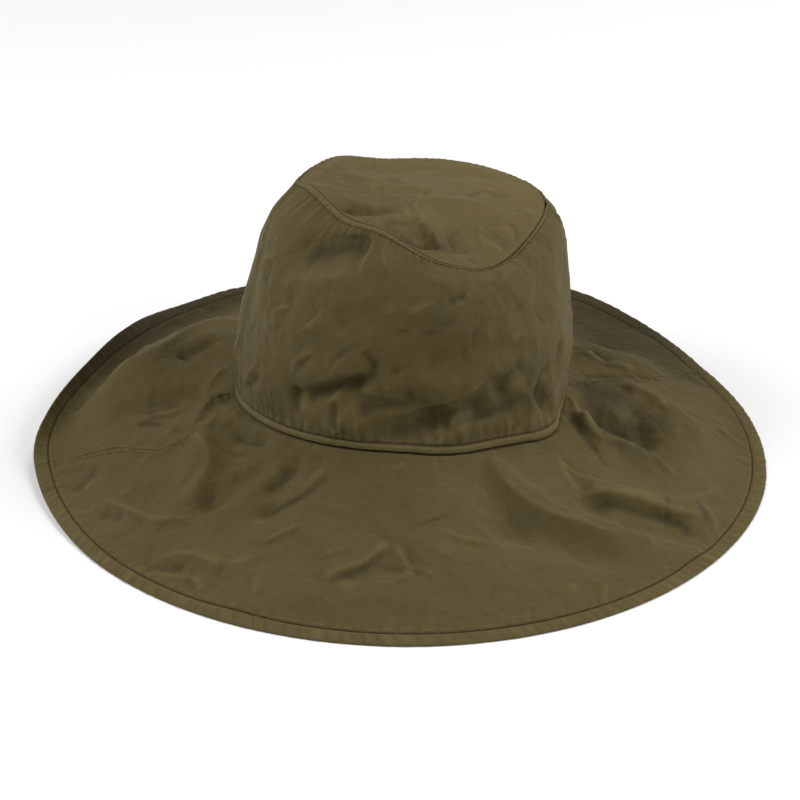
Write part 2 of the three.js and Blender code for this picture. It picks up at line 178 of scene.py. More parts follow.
# How far the brim seam bags out, and hangs lower, at the right front.
BASE_SEAM = tuple(SeamPlace(*row) for row in (
    (0, 4.5, -0.5), (10, 5.5, -1), (20, 4.5, -2), (30, 6.5, -3), (37, 9.5, -3.8), (45, 9, -3.5),
    (52, 4.5, -3), (60, 1.5, -1.5), (72, 0, 0), (160, 0, 0), (250, 0, 0), (335, 0, 0), (350, 1.5, 0),
))
BRIM_PLACES = (0, 0.3, 0.55, 0.7, 0.85, 1)
BRIM_DROOPS = ("root", "inner", "middle", "outer", "rim", "edge")
BRIM_SECTIONS = tuple(BrimSection(*row) for row in (
    (0, 124, 24, 23, 23, 24, 23, 12),
    (30, 125, 25, 21, 21, 23, 22, 12),
    (60, 123, 25, 17, 19, 22, 22, 12),
    (90, 117, 31, 10, 19, 23, 20, 12),
    (105, 115, 27, 11, 21, 28, 14, -9),
    (120, 119, 23, 14, 22, 19, 4, -7),
    (135, 120, 20, 13, 19, 14, -4, -15),
    (150, 121, 18, 11, 17, 13, -3, -12),
    (165, 121, 17, 12, 19, 19, 5, -3),
    (180, 121, 16, 13, 19, 19, 5, 0),
    (195, 120, 15, 14, 15, 16, -4, -3),
    (210, 117, 10, 6, 22, 31, -5, -14),
    (225, 114, 7, -3, 19, 59, -5, -75),
    (240, 112, 7, -2, 2, 68, 8, -108),
    (255, 120, 13, 5, 8, 35, 40, -106),
    (270, 119, 21, 12, 17, 23, 23, -8),
    (300, 121, 26, 20, 22, 24, 22, 10),
    (330, 122, 27, 22, 23, 24, 23, 12),
))
SEAM_PLACES = (0, 0.12, 0.27, 0.43, 0.6, 0.8, 1)
BRIM_SEAMS = {Side.RIGHT: (79, 85, 90, 92, 96, 101, 104),
              Side.LEFT: (265, 268.5, 279, 280, 273.5, 270, 266)}
CROWN_SEAMS = {Side.RIGHT: (84, 84, 84, 84, 84, 83, 82),
               Side.LEFT: (265, 267.5, 270, 271, 269.5, 263, 253)}

# The main folds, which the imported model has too.
BRIM_FOLDS = tuple(Fold(*row) for row in (
    (264, 0.12, 284, 0.27, 8, 4.0),     # ridge running forwards from the left seam
    (287, 0.28, 299, 0.58, 9, 3.5),     # and turning down to the left front
    (294, 0.18, 303, 0.46, 9, -3.5),    # hollow beside it
    (284, 0.09, 300, 0.07, 6, -3.0),    # hollow beside the crown on the left front
    (301, 0.52, 307, 0.24, 9, -3.0),    # hollows and ridges that fan over the left front
    (308, 0.50, 312, 0.20, 7, 2.5),
    (314, 0.31, 316, 0.13, 6, -2.5),
    (329, 0.10, 320, 0.36, 8, 3.0),
    (316, 0.42, 324, 0.22, 8, -4.0),
    (322, 0.86, 344, 0.70, 12, 2.0),    # swell near the front rim
    (340, 0.68, 349, 0.58, 8, -4.5),    # wedge-shaped dent above it
    (8, 0.16, 12, 0.40, 12, -5.0),     # broad valley on the right front
    (13, 0.42, 26, 0.70, 12, -5.5),
    (16, 0.12, 25, 0.52, 8, 4.5),       # crest beside the valley
    (26, 0.56, 38, 0.88, 9, 2.5),
    (32, 0.45, 43, 0.86, 5, -4.5),      # long fold towards the right rim
    (36, 0.37, 49, 0.76, 6, 4.5),       # its crest
    (68, 0.16, 64, 0.34, 15, -9.0),    # deep hollow on the right
    (76, 0.34, 66, 0.40, 8, -4.5),
    (88, 0.36, 79, 0.55, 7, 3.5),       # swollen lip outside the hollow
    (68, 0.05, 57, 0.14, 5, 5.0),       # ridge that bounds the hollow
    (56, 0.15, 57, 0.42, 6, 5.0),
    (55, 0.08, 49, 0.18, 5, -1.5),      # pocket under that ridge
    (74, 0.64, 58, 0.68, 16, 3.0),      # swell outside the hollow
    (94, 0.18, 95, 0.46, 5, -3.0),      # creases that fan from the crown behind the right seam
    (110, 0.14, 102, 0.60, 8, 3.5),
    (116, 0.33, 104, 0.37, 5, -3.0),
    (126, 0.16, 118, 0.62, 10, -2.5),
    (150, 0.20, 158, 0.70, 12, 3.0),    # soft folds across the back
    (178, 0.25, 186, 0.65, 14, -3.0),
    (260, 0.48, 256, 0.18, 11, -5.0),   # hollow on the left, behind the seam
    (238, 0.35, 227, 0.30, 5, -3.5),    # short crease on the left back
    (238, 0.40, 222, 0.46, 9, -2.0),    # shallow dent inside the curled edge
))
CROWN_FOLDS = tuple(Fold(*row) for row in (
    (312, 0.22, 336, 0.36, 6, -5.0),    # crease low on the left front
    (333, 0.24, 352, 0.23, 7, -5.5),    # hollow below it
    (343, 0.12, 358, 0.17, 7, -6.5),    # long hollow low on the front
    (358, 0.17, 18, 0.27, 7, -6.5),
    (4, 0.10, 22, 0.14, 7, 2.0),        # swell between the hollows and the seam
    (326, 0.10, 336, 0.14, 7, 2.0),
    (42, 0.28, 37, 0.20, 4, -2.0),      # crescent crease
    (37, 0.20, 41, 0.12, 4, -2.0),
    (294, 0.84, 322, 0.93, 7, -6.0),    # dent under the top seam
    (270, 0.90, 285, 0.70, 12, 2.5),    # rounded shoulder on the left
    (0, 0.48, 30, 0.55, 16, -2.5),      # slack of the front wall
    (150, 0.30, 190, 0.40, 14, -4.0),   # slack of the back wall
    (205, 0.65, 235, 0.55, 12, -3.0),
    (120, 0.70, 95, 0.50, 12, -2.5),
))
TIP_FOLDS = tuple(Fold(*row) for row in (
    (335, 0.84, 352, 0.70, 7, -5.5),    # crease behind the front of the top seam
    (352, 0.70, 14, 0.70, 7, -5.5),
    (294, 0.82, 316, 0.52, 7, -3.5),    # hollow on the left
    (300, 0.30, 60, 0.30, 12, 2.5),     # ridge across the middle
    (230, 0.55, 236, 0.92, 14, 3.0),    # raised back corner
    (150, 0.60, 190, 0.70, 14, -3.0),
))

# The finer creases, each along its own path.
BRIM_CREASES = tuple(Crease(*row) for row in (
    # curled back edge: the crest of the roll, and a second line that leaves it
    (((206, .48), (213, .50), (220, .50), (228, .49), (234, .48), (241, .52), (245, .58),
      (248, .66)), 3.0, 9, 3.2, 1.1, .15),
    (((205, .56), (214, .60), (226, .60), (238, .60), (246, .68)), -3.0, 6, 6, 1.8, .15),
    (((207, .40), (212, .40), (215, .46)), 1.0, 3, 2, 1.2),
    (((240, .36), (234, .31), (226, .28)), -1.8, 6, 1.6, 1.3),
    (((259, .18), (249, .12), (239, .08)), 1.8, 6, 2, 1.2),
    # small tongue in the left brim
    (((266, .53), (265, .42), (266, .31), (264, .22)), 1.8, 5, 1.8, 1.2),
    (((266, .50), (268, .42), (270, .34)), -1.2, 2, 4, 1.5),
    (((262, .46), (261, .36), (258, .24)), -2.0, 6, 5, 1.7),
    (((272, .36), (279, .24)), -0.9, 5, 5, 2.0),
    # below the left seam
    (((269, .93), (271.5, .82), (275, .66)), 1.3, 4, 3, 1.5),
    (((279, .88), (276.5, .80), (276, .70)), -1.8, 4, 5, 1.8),
    (((282, .93), (284.5, .87), (284, .79)), 1.2, 1.4, 3, 1.2),
    (((281, .80), (287, .74), (293, .70), (298, .67), (301.5, .61), (306, .53)), 1.7, 5, 3, 1.4),
    (((286, .83), (292, .77)), -1.2, 4, 4, 2.0),
    # the ridge that turns down beside the seam's inner end
    (((272, .08), (279, .18), (284, .27), (290, .29), (294, .34), (296, .42), (299, .60)),
     2.0, 6, 4, 1.2, .2),
    (((290, .23), (296, .27), (299, .36), (302, .49)), -1.4, 4, 6, 1.6),
    (((268, .12), (276, .07), (290, .04)), 0.9, 3, 4, 1.4),
    (((287, .13), (296, .08), (303, .04)), -1.2, 4, 4, 1.8),
    # left front
    (((328, .12), (325, .18), (322, .27), (316, .42)), 2.4, 2.4, 7, 1.2),
    (((326, .19), (322, .29), (320, .35), (314, .44)), -2.4, 5, 4, 1.6),
    (((316, .10), (315, .24), (313, .34)), -1.6, 5, 4, 1.8),
    (((303, .20), (303, .30), (302, .41), (301, .54)), -1.8, 6, 5, 1.8),
    (((320, .59), (323.5, .50), (327, .42)), 1.5, 3.5, 1.2, 1.1),
    (((302, .86), (305.5, .79), (308.5, .745), (313, .73), (316.5, .72), (319, .68), (323, .59)),
     1.6, 4, 4, 1.3),
    (((301, .92), (306, .86), (311, .80)), -1.8, 5, 4, 1.8),
    (((311, .83), (314, .86), (316, .90)), 0.9, 3, 2, 1.4),
    # front: the dent near the rim and its two edges
    (((334, .72), (337, .64), (341, .58), (344.5, .51), (346.5, .46)), 2.4, 6, 2.2, 1.2, .2),
    (((346.5, .47), (349, .55), (350.5, .66)), 1.6, 2.2, 6, 1.2),
    (((336, .74), (341, .68), (347, .62)), 1.2, 5, 5, 1.8),
    (((352, .50), (0, .56), (8, .60)), 0.8, 5, 5, 1.8),
    (((345, .10), (350, .06)), 0.8, 2, 3, 1.3),
    # right front: the broad valley with its crest
    (((8, .06), (9.5, .20), (11, .34), (15, .50)), 1.2, 3, 7, 1.3),
    (((14, .09), (16, .20), (18.5, .32), (22, .44), (27, .56), (34, .66)), 2.4, 3, 8, 1.2, .25),
    (((37, .10), (33.5, .23), (32.5, .32), (33, .40)), 1.0, 2, 2.5, 1.2),
    # long fold towards the right rim
    (((32, .37), (36, .42), (40, .52), (43, .64), (46, .75), (48.5, .82)), 3.0, 7, 2.2, 1.1, .12),
    (((32, .43), (36, .49), (39.5, .60), (43, .73), (44.5, .84)), -2.2, 2.4, 5, 1.5, .15),
    (((51, .76), (50, .83), (47, .93)), 1.6, 4, 3, 1.3),
    (((35.5, .66), (35.8, .73), (34.5, .80)), 0.8, 2, 2, 1.2),
    (((56.5, .52), (54, .62)), 1.2, 2, 3, 1.3),
    (((50, .70), (54.5, .77), (60, .82)), 1.0, 3, 3, 1.5),
    # the ridge from the crown that bounds the right hollow
    (((72, .0), (64, .07), (58.5, .11), (55.5, .16), (54.5, .24), (56, .32), (57, .42)),
     1.7, 2.0, 6, 1.1, .12),
    (((70, .08), (64, .17), (61.5, .28), (62, .40)), -7.5, 20, 5, 1.3, .35),
    (((86, .10), (86.5, .25), (86, .36), (82, .46), (76, .53)), 2.6, 3, 7, 1.2, .2),
    (((83, .49), (75, .53), (66, .58)), 0.8, 5, 4, 1.4),
    # creases that fan from the crown along the right seam
    (((94, .06), (94, .20), (93, .30), (93, .40), (92, .52)), 2.0, 2.0, 4, 1.1, .2),
    (((96, .14), (97, .24), (96, .38), (97, .50)), -2.2, 3, 3, 1.5, .2),
    (((109, .23), (107, .29), (104, .33), (101, .40), (99, .50)), 2.4, 4.5, 2, 1.1, .2),
    (((117, .32), (112, .36), (106, .36), (103, .40)), -2.2, 3, 3, 1.5),
    (((124, .50), (112, .44), (106, .49), (108, .64), (109, .80)), 2.0, 4.5, 2.2, 1.2),
    (((80, .74), (77, .84), (74, .90)), 0.9, 3, 3, 1.5),
    # hidden back
    (((140, .10), (146, .35), (143, .60)), 1.8, 3, 5, 1.3),
    (((165, .08), (172, .32), (180, .52)), 1.6, 5, 3, 1.3),
    (((190, .12), (188, .30), (196, .44)), -1.6, 4, 4, 1.6),
    (((150, .70), (160, .62), (171, .66)), 1.4, 4, 3, 1.4),
))
CROWN_CREASES = tuple(Crease(*row) for row in (
    (((43, .29), (38, .26), (36.5, .20), (38, .15), (42, .11)), -2.4, 1.4, 1.6, 1.2, .2),
    (((53, .40), (49, .31), (45, .24)), -0.8, 1.6, 2.6, 1.3),
    (((57, .42), (53.5, .32), (50, .21)), 1.6, 2.4, 3, 1.3),
    # the overhang above each of the low hollows, and the hollow itself
    (((308, .22), (316, .30), (326, .37), (338, .40)), 2.6, 7, 2.6, 1.2, .2),
    (((311, .17), (319, .24), (328, .30), (337, .33)), -2.4, 3, 6, 1.6, .2),
    (((330, .27), (339, .27), (350, .275)), 2.4, 7, 3, 1.3, .25),
    (((331, .20), (340, .19), (351, .20)), -2.4, 3, 5, 1.6, .25),
    (((340, .15), (348, .17), (354, .20), (0, .22), (8, .27), (18, .32)), 3.2, 7, 3, 1.3, .2),
    (((340, .08), (349, .09), (356, .12), (4, .15), (12, .20), (20, .24)), -3.4, 3.5, 5, 1.6, .2),
    (((2, .12), (7, .165), (14, .19)), 2.0, 1.8, 5, 1.2),
    (((22, .26), (29, .24), (34, .20)), 2.2, 6, 3, 1.3),
    (((6, .15), (18, .17), (31, .18)), -3.6, 5, 6, 1.6),
    (((18, .24), (26, .33), (33, .37)), -2.0, 5, 6, 1.6),
    (((14, .27), (24, .29), (33, .31)), 1.6, 6, 3, 1.4),
    (((324.5, .24), (325.5, .06)), -1.8, 1.8, 2.6, 1.4),
    (((309, .26), (310, .10)), -1.8, 2, 2.6, 1.4),
    (((307, .30), (309.5, .40), (317, .46)), 1.2, 2.4, 2, 1.2),
    (((332, .50), (338.5, .39)), -1.2, 3, 2, 1.4),
    (((290, .32), (287.5, .24), (284, .18), (278, .12)), 1.8, 1.8, 2.6, 1.2),
    (((293, .26), (289, .19), (285, .14)), -1.2, 2, 2, 1.4),
    (((316, .64), (326, .63), (338, .67)), -1.4, 6, 6, 2.0),
    (((300, .52), (312, .56), (330, .54)), 1.0, 6, 4, 1.6),
    (((0, .75), (9, .785)), -1.2, 3, 3, 1.6),
    (((293, .80), (302, .85), (314, .90), (328, .93)), -3.0, 4, 6, 1.6, .2),
    (((290, .70), (302, .75), (316, .79), (330, .82)), 1.0, 5, 4, 1.6, .2),
    (((350, .44), (2, .40), (14, .46)), -1.6, 8, 6, 2.0),
    (((20, .60), (32, .50), (44, .52)), 1.4, 6, 6, 1.8),
    (((275, .80), (282, .62), (284, .45)), 1.2, 4, 5, 1.6),
    (((335, .62), (346, .70), (358, .66)), 0.9, 5, 4, 1.6),
    (((22, .78), (30, .68), (33, .58)), -1.0, 4, 5, 1.6),
    (((100, .20), (112, .30), (124, .27)), -2.0, 4, 4, 1.5),
    (((140, .62), (152, .52), (168, .55)), 1.8, 5, 4, 1.4),
    (((196, .22), (206, .34), (222, .36)), -2.0, 4, 5, 1.5),
    (((228, .78), (240, .70), (248, .60)), 1.4, 4, 4, 1.5),
))
TIP_CREASES = tuple(Crease(*row) for row in (
    (((333, .93), (340, .82), (349, .70), (358, .62)), 3.2, 6, 2.4, 1.2, .25),
    (((335, .98), (343, .90), (352, .80), (0, .74)), -2.4, 3, 4, 1.5, .25),
    (((2, .70), (14, .70)), 3.0, 6, 6, 2.0, .3),
    (((258, .46), (215, .18), (108, .22), (96, .42)), 1.6, 5, 8, 1.4),
    (((282, .78), (292.5, .62), (312, .60), (335, .50)), 1.2, 5, 4, 1.5),
    (((288, .94), (296, .74), (308, .52), (322, .38)), -1.8, 5, 4, 1.6),
    (((206, .92), (238, .84), (256, .97)), 1.8, 4, 4, 1.2),
    (((270, .60), (300, .36), (20, .30)), -1.4, 7, 6, 2.0),
    (((60, .30), (72, .60), (84, .80)), 1.2, 5, 4, 1.6),
    (((28, .95), (36, .76), (52, .62)), 1.0, 3, 3, 1.5),
    (((130, .40), (150, .72), (172, .80)), -1.4, 5, 5, 1.6),
))

# Painted light and shade along a path, laid out as creases: 1 pale, -1 dark.
BRIM_PAINTED_SHADE = tuple(Crease(*row) for row in (
    (((82, .03), (81, .20), (78, .34)), -1.2, 13, 11, 2.0, .25),
    (((70, .06), (69, .22), (66, .40)), -0.7, 13, 13, 2.0, .25),
    (((76, .38), (68, .44)), -1.0, 10, 10, 2.0, .25),
    (((50, .30), (56, .42), (62, .52)), -0.6, 16, 16, 2.0),
    (((54, .10), (50, .18), (47, .24)), -0.7, 5, 5, 2.0),
    (((64, .07), (58, .12), (55, .18)), 1.4, 3, 3, 2.0),
    (((11, .06), (13, .18), (14, .31), (18, .42), (22, .52)), -0.35, 8, 8, 2.0),
    (((24, .50), (30, .62), (38, .76)), -0.35, 7, 7, 2.0),
    (((36, .44), (40, .52), (44, .66)), 0.8, 6, 6, 2.0),
    (((316, .42), (321, .31), (324, .22)), -0.45, 6, 6, 2.0),
    (((335, .18), (345, .28), (355, .34)), -0.25, 16, 16, 2.0),
    (((262, .52), (262, .36), (260, .22)), -0.5, 8, 8, 2.0),
    (((274, .93), (284, .90), (296, .88)), 0.35, 15, 15, 2.0),
    (((270, .03), (275, .09), (280, .18)), 1.0, 7, 7, 2.0),
    (((293, .32), (298, .44), (300, .56)), 0.6, 5, 5, 2.0),
))
CROWN_PAINTED_SHADE = tuple(Crease(*row) for row in (
    (((284, .88), (300, .86), (312, .90), (328, .94)), -0.35, 7, 7, 2.0),
    (((350, .72), (0, .72), (10, .75)), -0.25, 12, 12, 2.0),
    (((286, .11), (298, .10), (312, .09)), -0.55, 6, 6, 2.0),
    (((336, .06), (350, .06), (2, .08)), -0.5, 5, 5, 2.0),
    (((4, .13), (14, .14), (26, .15)), -0.35, 8, 8, 2.0),
    (((31, .38), (34, .28), (36, .18), (36, .08)), -0.9, 8, 8, 2.0),
    (((336, .20), (343, .18), (350, .17)), 0.7, 5, 5, 2.0),
    (((355, .27), (3, .27), (10, .30)), 0.6, 5, 5, 2.0),
    (((18, .38), (24, .37)), 0.5, 5, 5, 2.0),
    (((29, .86), (36, .70), (38, .55)), 0.45, 13, 13, 2.0),
))
TIP_PAINTED_SHADE = tuple(Crease(*row) for row in (
    (((333, .98), (340, .90), (352, .80), (8, .74), (16, .74)), -1.5, 7, 7, 2.0, .2),
    (((328, .66), (345, .47), (5, .44), (30, .50)), 0.5, 6, 6, 2.0),
    (((290, .96), (295, .81), (305, .63), (321, .46)), -0.6, 4, 4, 2.0),
))


# ---------------------------------------------------------------------------------------------
# Curves through the tables
# ---------------------------------------------------------------------------------------------
def smoothstep(value: Array, low: float = 0.0, high: float = 1.0) -> Array:
    """Smooth rise from 0 at low to 1 at high."""
    share = np.clip((np.asarray(value, float) - low) / (high - low), 0.0, 1.0)
    return share * share * (3.0 - 2.0 * share)


def hermite(share: Array, start: Array, end: Array, start_slope: Array, end_slope: Array) -> Array:
    """Cubic from start to end with the given slopes at its ends."""
    s2 = share * share
    s3 = s2 * share
    return ((2 * s3 - 3 * s2 + 1) * start + (s3 - 2 * s2 + share) * start_slope
            + (3 * s2 - 2 * s3) * end + (s3 - s2) * end_slope)


def smooth_line(places: tuple[float, ...], values: Array, at: Array) -> Array:
    """A smooth line through values at rising places.

    Args:
        places: the rising places, each with a value.
        values: one row for each place, a number or an array of at's shape.
        at: where the line is wanted.

    Returns:
        The line's values, in at's shape.
    """
    at = np.asarray(at, float)
    stops = np.asarray(places, float)
    rows = np.stack([np.broadcast_to(np.asarray(v, float), at.shape) for v in values])
    last = len(stops) - 1
    low = np.maximum(np.arange(last + 1) - 1, 0)
    high = np.minimum(np.arange(last + 1) + 1, last)
    spans = (stops[high] - stops[low]).reshape((-1,) + (1,) * at.ndim)
    slopes = (rows[high] - rows[low]) / spans
    k = np.clip(np.searchsorted(stops, at, side="right") - 1, 0, last - 1)
    span = stops[k + 1] - stops[k]

    def pick(source: Array, index: Array) -> Array:
        """The row of source that each point's index names."""
        return np.take_along_axis(source, index[None], axis=0)[0]

    return hermite((at - stops[k]) / span, pick(rows, k), pick(rows, k + 1),
                   pick(slopes, k) * span, pick(slopes, k + 1) * span)


def round_line(turns: Array, values: Array, turn: Array) -> Array:
    """A smooth closed line round the hat through values at rising turns."""
    count = len(turns)
    here = np.asarray(turn, float) % 360.0
    k = np.searchsorted(turns, here, side="right") - 1

    def place(i: Array) -> Array:
        """The turn of stop i, which runs on past a whole turn."""
        return turns[i % count] + 360.0 * (i // count)

    def slope(i: Array) -> Array:
        """The slope of the line at stop i."""
        return (values[(i + 1) % count] - values[(i - 1) % count]) / (place(i + 1) - place(i - 1))

    span = place(k + 1) - place(k)
    return hermite((here - place(k)) / span, values[k % count], values[(k + 1) % count],
                   slope(k) * span, slope(k + 1) * span)


def column(rows: tuple, name: str) -> Array:
    """One column of a table of rows, as numbers."""
    return np.array([getattr(row, name) for row in rows], float)


def round_column(rows: tuple, name: str, turn: Array) -> Array:
    """A smooth closed line through one column of a table of turns."""
    return round_line(column(rows, "turn"), column(rows, name), turn)


def wrapped(degrees: Array) -> Array:
    """An angle brought between -180 and 180."""
    return (np.asarray(degrees, float) + 180.0) % 360.0 - 180.0


def outward(turn: Array) -> Array:
    """The level direction out from the middle of the hat."""
    angle = np.radians(turn)
    return np.stack([np.sin(angle), -np.cos(angle), np.zeros_like(angle)], axis=-1)


def unit(vectors: Array) -> Array:
    """Vectors brought to length 1."""
    return vectors / np.maximum(np.linalg.norm(vectors, axis=-1, keepdims=True), 1e-12)


def fold_rise(folds: tuple[Fold, ...], around: float, along: float, turn: Array, at: Array) -> Array:
    """The rise of all folds of a panel.

    Args:
        folds: the panel's folds.
        around: millimetres to a radian round the hat.
        along: millimetres to the panel's whole width.
        turn: turns of the points.
        at: places of the points.

    Returns:
        The rise at each point, in millimetres.
    """
    rise = np.zeros(np.broadcast(turn, at).shape)
    for fold in folds:
        swing = float(wrapped(fold.to_turn - fold.from_turn))
        offset = wrapped(turn - fold.from_turn - swing / 2) + swing / 2
        here_x = np.radians(offset) * around
        here_y = (at - fold.from_at) * along
        way_x = math.radians(swing) * around
        way_y = (fold.to_at - fold.from_at) * along
        share = np.clip((here_x * way_x + here_y * way_y) / (way_x ** 2 + way_y ** 2), 0, 1)
        away = np.hypot(here_x - share * way_x, here_y - share * way_y)
        rise += fold.height * np.exp(-(away / fold.width) ** 2)
    return rise


# ---------------------------------------------------------------------------------------------
# Fine relief: creases, crinkles, ripples and puckers, all in millimetres on the flat cloth
# ---------------------------------------------------------------------------------------------
CREASE_STEPS = 7           # steps of a crease's curve between two of its places
CREST_ROUNDING = 0.45      # the sharpest crest is rounded over this width


def curve_through(corners: Array, steps: int) -> Array:
    """A smooth curve through corners, as points."""
    if len(corners) == 2:
        return corners[0] + np.linspace(0, 1, steps + 1)[:, None] * (corners[1] - corners[0])
    places = tuple(range(len(corners)))
    at = np.linspace(0, len(corners) - 1, steps * (len(corners) - 1) + 1)
    return np.stack([smooth_line(places, corners[:, axis], at) for axis in range(2)], axis=-1)


def ridge_along(path: Array, points: Array, left: float, right: float, sharp: float,
                fade: float) -> Array:
    """The height, from 0 to 1, of a ridge that follows a path.

    Args:
        path: the path's points on the flat cloth.
        points: where the height is wanted, two columns.
        left: spread of the ridge to the left of the path.
        right: spread to its right.
        sharp: 2 for a round ridge, 1 for a knife edge.
        fade: share of the path over which each end dies out.

    Returns:
        The height at each point.
    """
    height = np.zeros(len(points))
    reach = 3.2 * max(left, right)
    near = np.all((points > path.min(axis=0) - reach) & (points < path.max(axis=0) + reach), axis=1)
    if not near.any():
        return height
    spots = points[near]
    steps = np.diff(path, axis=0)
    lengths = np.linalg.norm(steps, axis=1)
    starts = np.concatenate([[0.0], np.cumsum(lengths)])
    best = np.full(len(spots), np.inf)
    side = np.zeros(len(spots))
    share_at = np.zeros(len(spots))
    for k, (step, length) in enumerate(zip(steps, lengths)):
        here = spots - path[k]
        share = np.clip((here @ step) / length ** 2, 0, 1)
        away = here - share[:, None] * step
        distance = np.hypot(away[:, 0], away[:, 1])
        closer = distance < best
        best = np.where(closer, distance, best)
        side = np.where(closer, step[0] * here[:, 1] - step[1] * here[:, 0], side)
        share_at = np.where(closer, (starts[k] + share * length) / starts[-1], share_at)
    width = np.where(side > 0, left, right)
    away = np.sqrt(best ** 2 + CREST_ROUNDING ** 2) - CREST_ROUNDING
    height[near] = (np.exp(-(away / width) ** sharp) * smoothstep(share_at / fade)
                    * smoothstep((1 - share_at) / fade))
    return height


class Ripples:
    """Smooth seeded noise over the flat cloth."""

    LATTICE = 128

    def __init__(self, seed: int) -> None:
        """Draws the directions at the lattice's corners."""
        angles = np.random.default_rng(seed).uniform(0, 2 * math.pi, (self.LATTICE, self.LATTICE))
        self.slope = np.stack([np.cos(angles), np.sin(angles)], axis=-1)

    def height(self, x: Array, y: Array, wave: float) -> Array:
        """Noise of about -1 to 1 whose humps are wave millimetres apart."""
        x, y = np.asarray(x) / wave, np.asarray(y) / wave
        cell_x, cell_y = np.floor(x).astype(int), np.floor(y).astype(int)
        part_x, part_y = x - cell_x, y - cell_y
        blend_x, blend_y = (p * p * p * (p * (p * 6 - 15) + 10) for p in (part_x, part_y))

        def corner(dx: int, dy: int) -> Array:
            """The slope of one corner of the cell, run on to the point."""
            slope = self.slope[(cell_x + dx) % self.LATTICE, (cell_y + dy) % self.LATTICE]
            return slope[..., 0] * (part_x - dx) + slope[..., 1] * (part_y - dy)

        low = corner(0, 0) * (1 - blend_x) + corner(1, 0) * blend_x
        high = corner(0, 1) * (1 - blend_x) + corner(1, 1) * blend_x
        return 1.6 * (low * (1 - blend_y) + high * blend_y)


@dataclass(frozen=True)
class Wave:
    """One size of ripple, and where in the noise it is read."""

    rise: float                # millimetres
    length: float              # millimetres from hump to hump
    from_x: float = 0.0
    from_y: float = 0.0


@dataclass(frozen=True)
class Crinkles:
    """Small chance creases of washed cotton, strewn over a stretch of flat cloth."""

    count: int
    low: tuple[float, float]
    high: tuple[float, float]
    seed: int
    lengths: tuple[float, float] = (14.0, 46.0)
    heights: tuple[float, float] = (0.12, 0.42)

    def rise(self, points: Array) -> Array:
        """The rise of all crinkles at the points, in millimetres."""
        random = np.random.default_rng(self.seed)
        total = np.zeros(len(points))
        for _ in range(self.count):
            middle = random.uniform(self.low, self.high)
            angle = random.uniform(0, math.pi)
            length = random.uniform(*self.lengths)
            bend = random.uniform(-0.18, 0.18) * length
            height = random.uniform(*self.heights) * random.choice([-1, 1])
            steep, gentle = random.uniform(1.0, 2.2), random.uniform(3.0, 7.0)
            way = np.array([math.cos(angle), math.sin(angle)]) * length / 2
            side = np.array([-way[1], way[0]]) / (length / 2) * bend
            path = curve_through(np.array([middle - way, middle + side, middle + way]), 5)
            total += height * ridge_along(path, points, steep, gentle, 1.25, 0.45)
        return total


@dataclass
class Puckers:
    """Small puffed folds side by side along a closed seam, with grooves between them."""

    around: float                    # length of the seam
    spacing: tuple[tuple[float, float], ...]   # (turn, spacing) round the seam
    seed: int
    fullness: float = 0.6            # below 1 the puffs are broad, above 1 narrow
    reach: tuple[float, float] = (6.0, 12.0)
    edges: Array = field(init=False)
    strength: Array = field(init=False)
    reaches: Array = field(init=False)

    def __post_init__(self) -> None:
        """Draws the grooves' places, and each puff's height and reach."""
        random = np.random.default_rng(self.seed)
        turns, gaps = np.array(self.spacing, float).T
        places = [0.0]
        while places[-1] < self.around:
            gap = float(round_line(turns, gaps, np.array(360.0 * places[-1] / self.around)))
            places.append(places[-1] + gap * random.uniform(0.5, 1.5))
        places[-1] = self.around
        self.edges = np.array(places)
        self.strength = random.uniform(0.45, 1.0, len(places))
        self.reaches = random.uniform(*self.reach, len(places))

    def rise(self, along: Array, away: Array) -> Array:
        """The puffs' height, from 0 to 1.

        Args:
            along: millimetres along the seam.
            away: millimetres from it.

        Returns:
            The height at each point, which dies out away from the seam.
        """
        along = np.asarray(along) % self.around
        k = np.clip(np.searchsorted(self.edges, along, side="right") - 1, 0, len(self.edges) - 2)
        share = np.clip((along - self.edges[k]) / (self.edges[k + 1] - self.edges[k]), 0, 1)
        puff = (4 * share * (1 - share)) ** self.fullness
        return self.strength[k] * puff * np.exp(-(np.asarray(away) / self.reaches[k]) ** 2)


def groove(away: Array, width: float, depth: float) -> Array:
    """A small channel along a line of stitching."""
    return -depth * np.exp(-(np.asarray(away) / width) ** 2)


def band(away: Array, half_width: float, height: float, soft: float = 1.0) -> Array:
    """A raised strip over folded seam allowances."""
    return height * smoothstep((half_width + soft / 2 - np.abs(away)) / soft)


# ---------------------------------------------------------------------------------------------
# Forms: the outer face of the cloth
# ---------------------------------------------------------------------------------------------
def top_middle() -> Array:
    """The middle of the crown's top seam, before the frame's shift."""
    top = CROWN_LEVELS[-1]
    return np.array([top.middle_x, top.middle_y, top.z + FLOOR_LIFT])


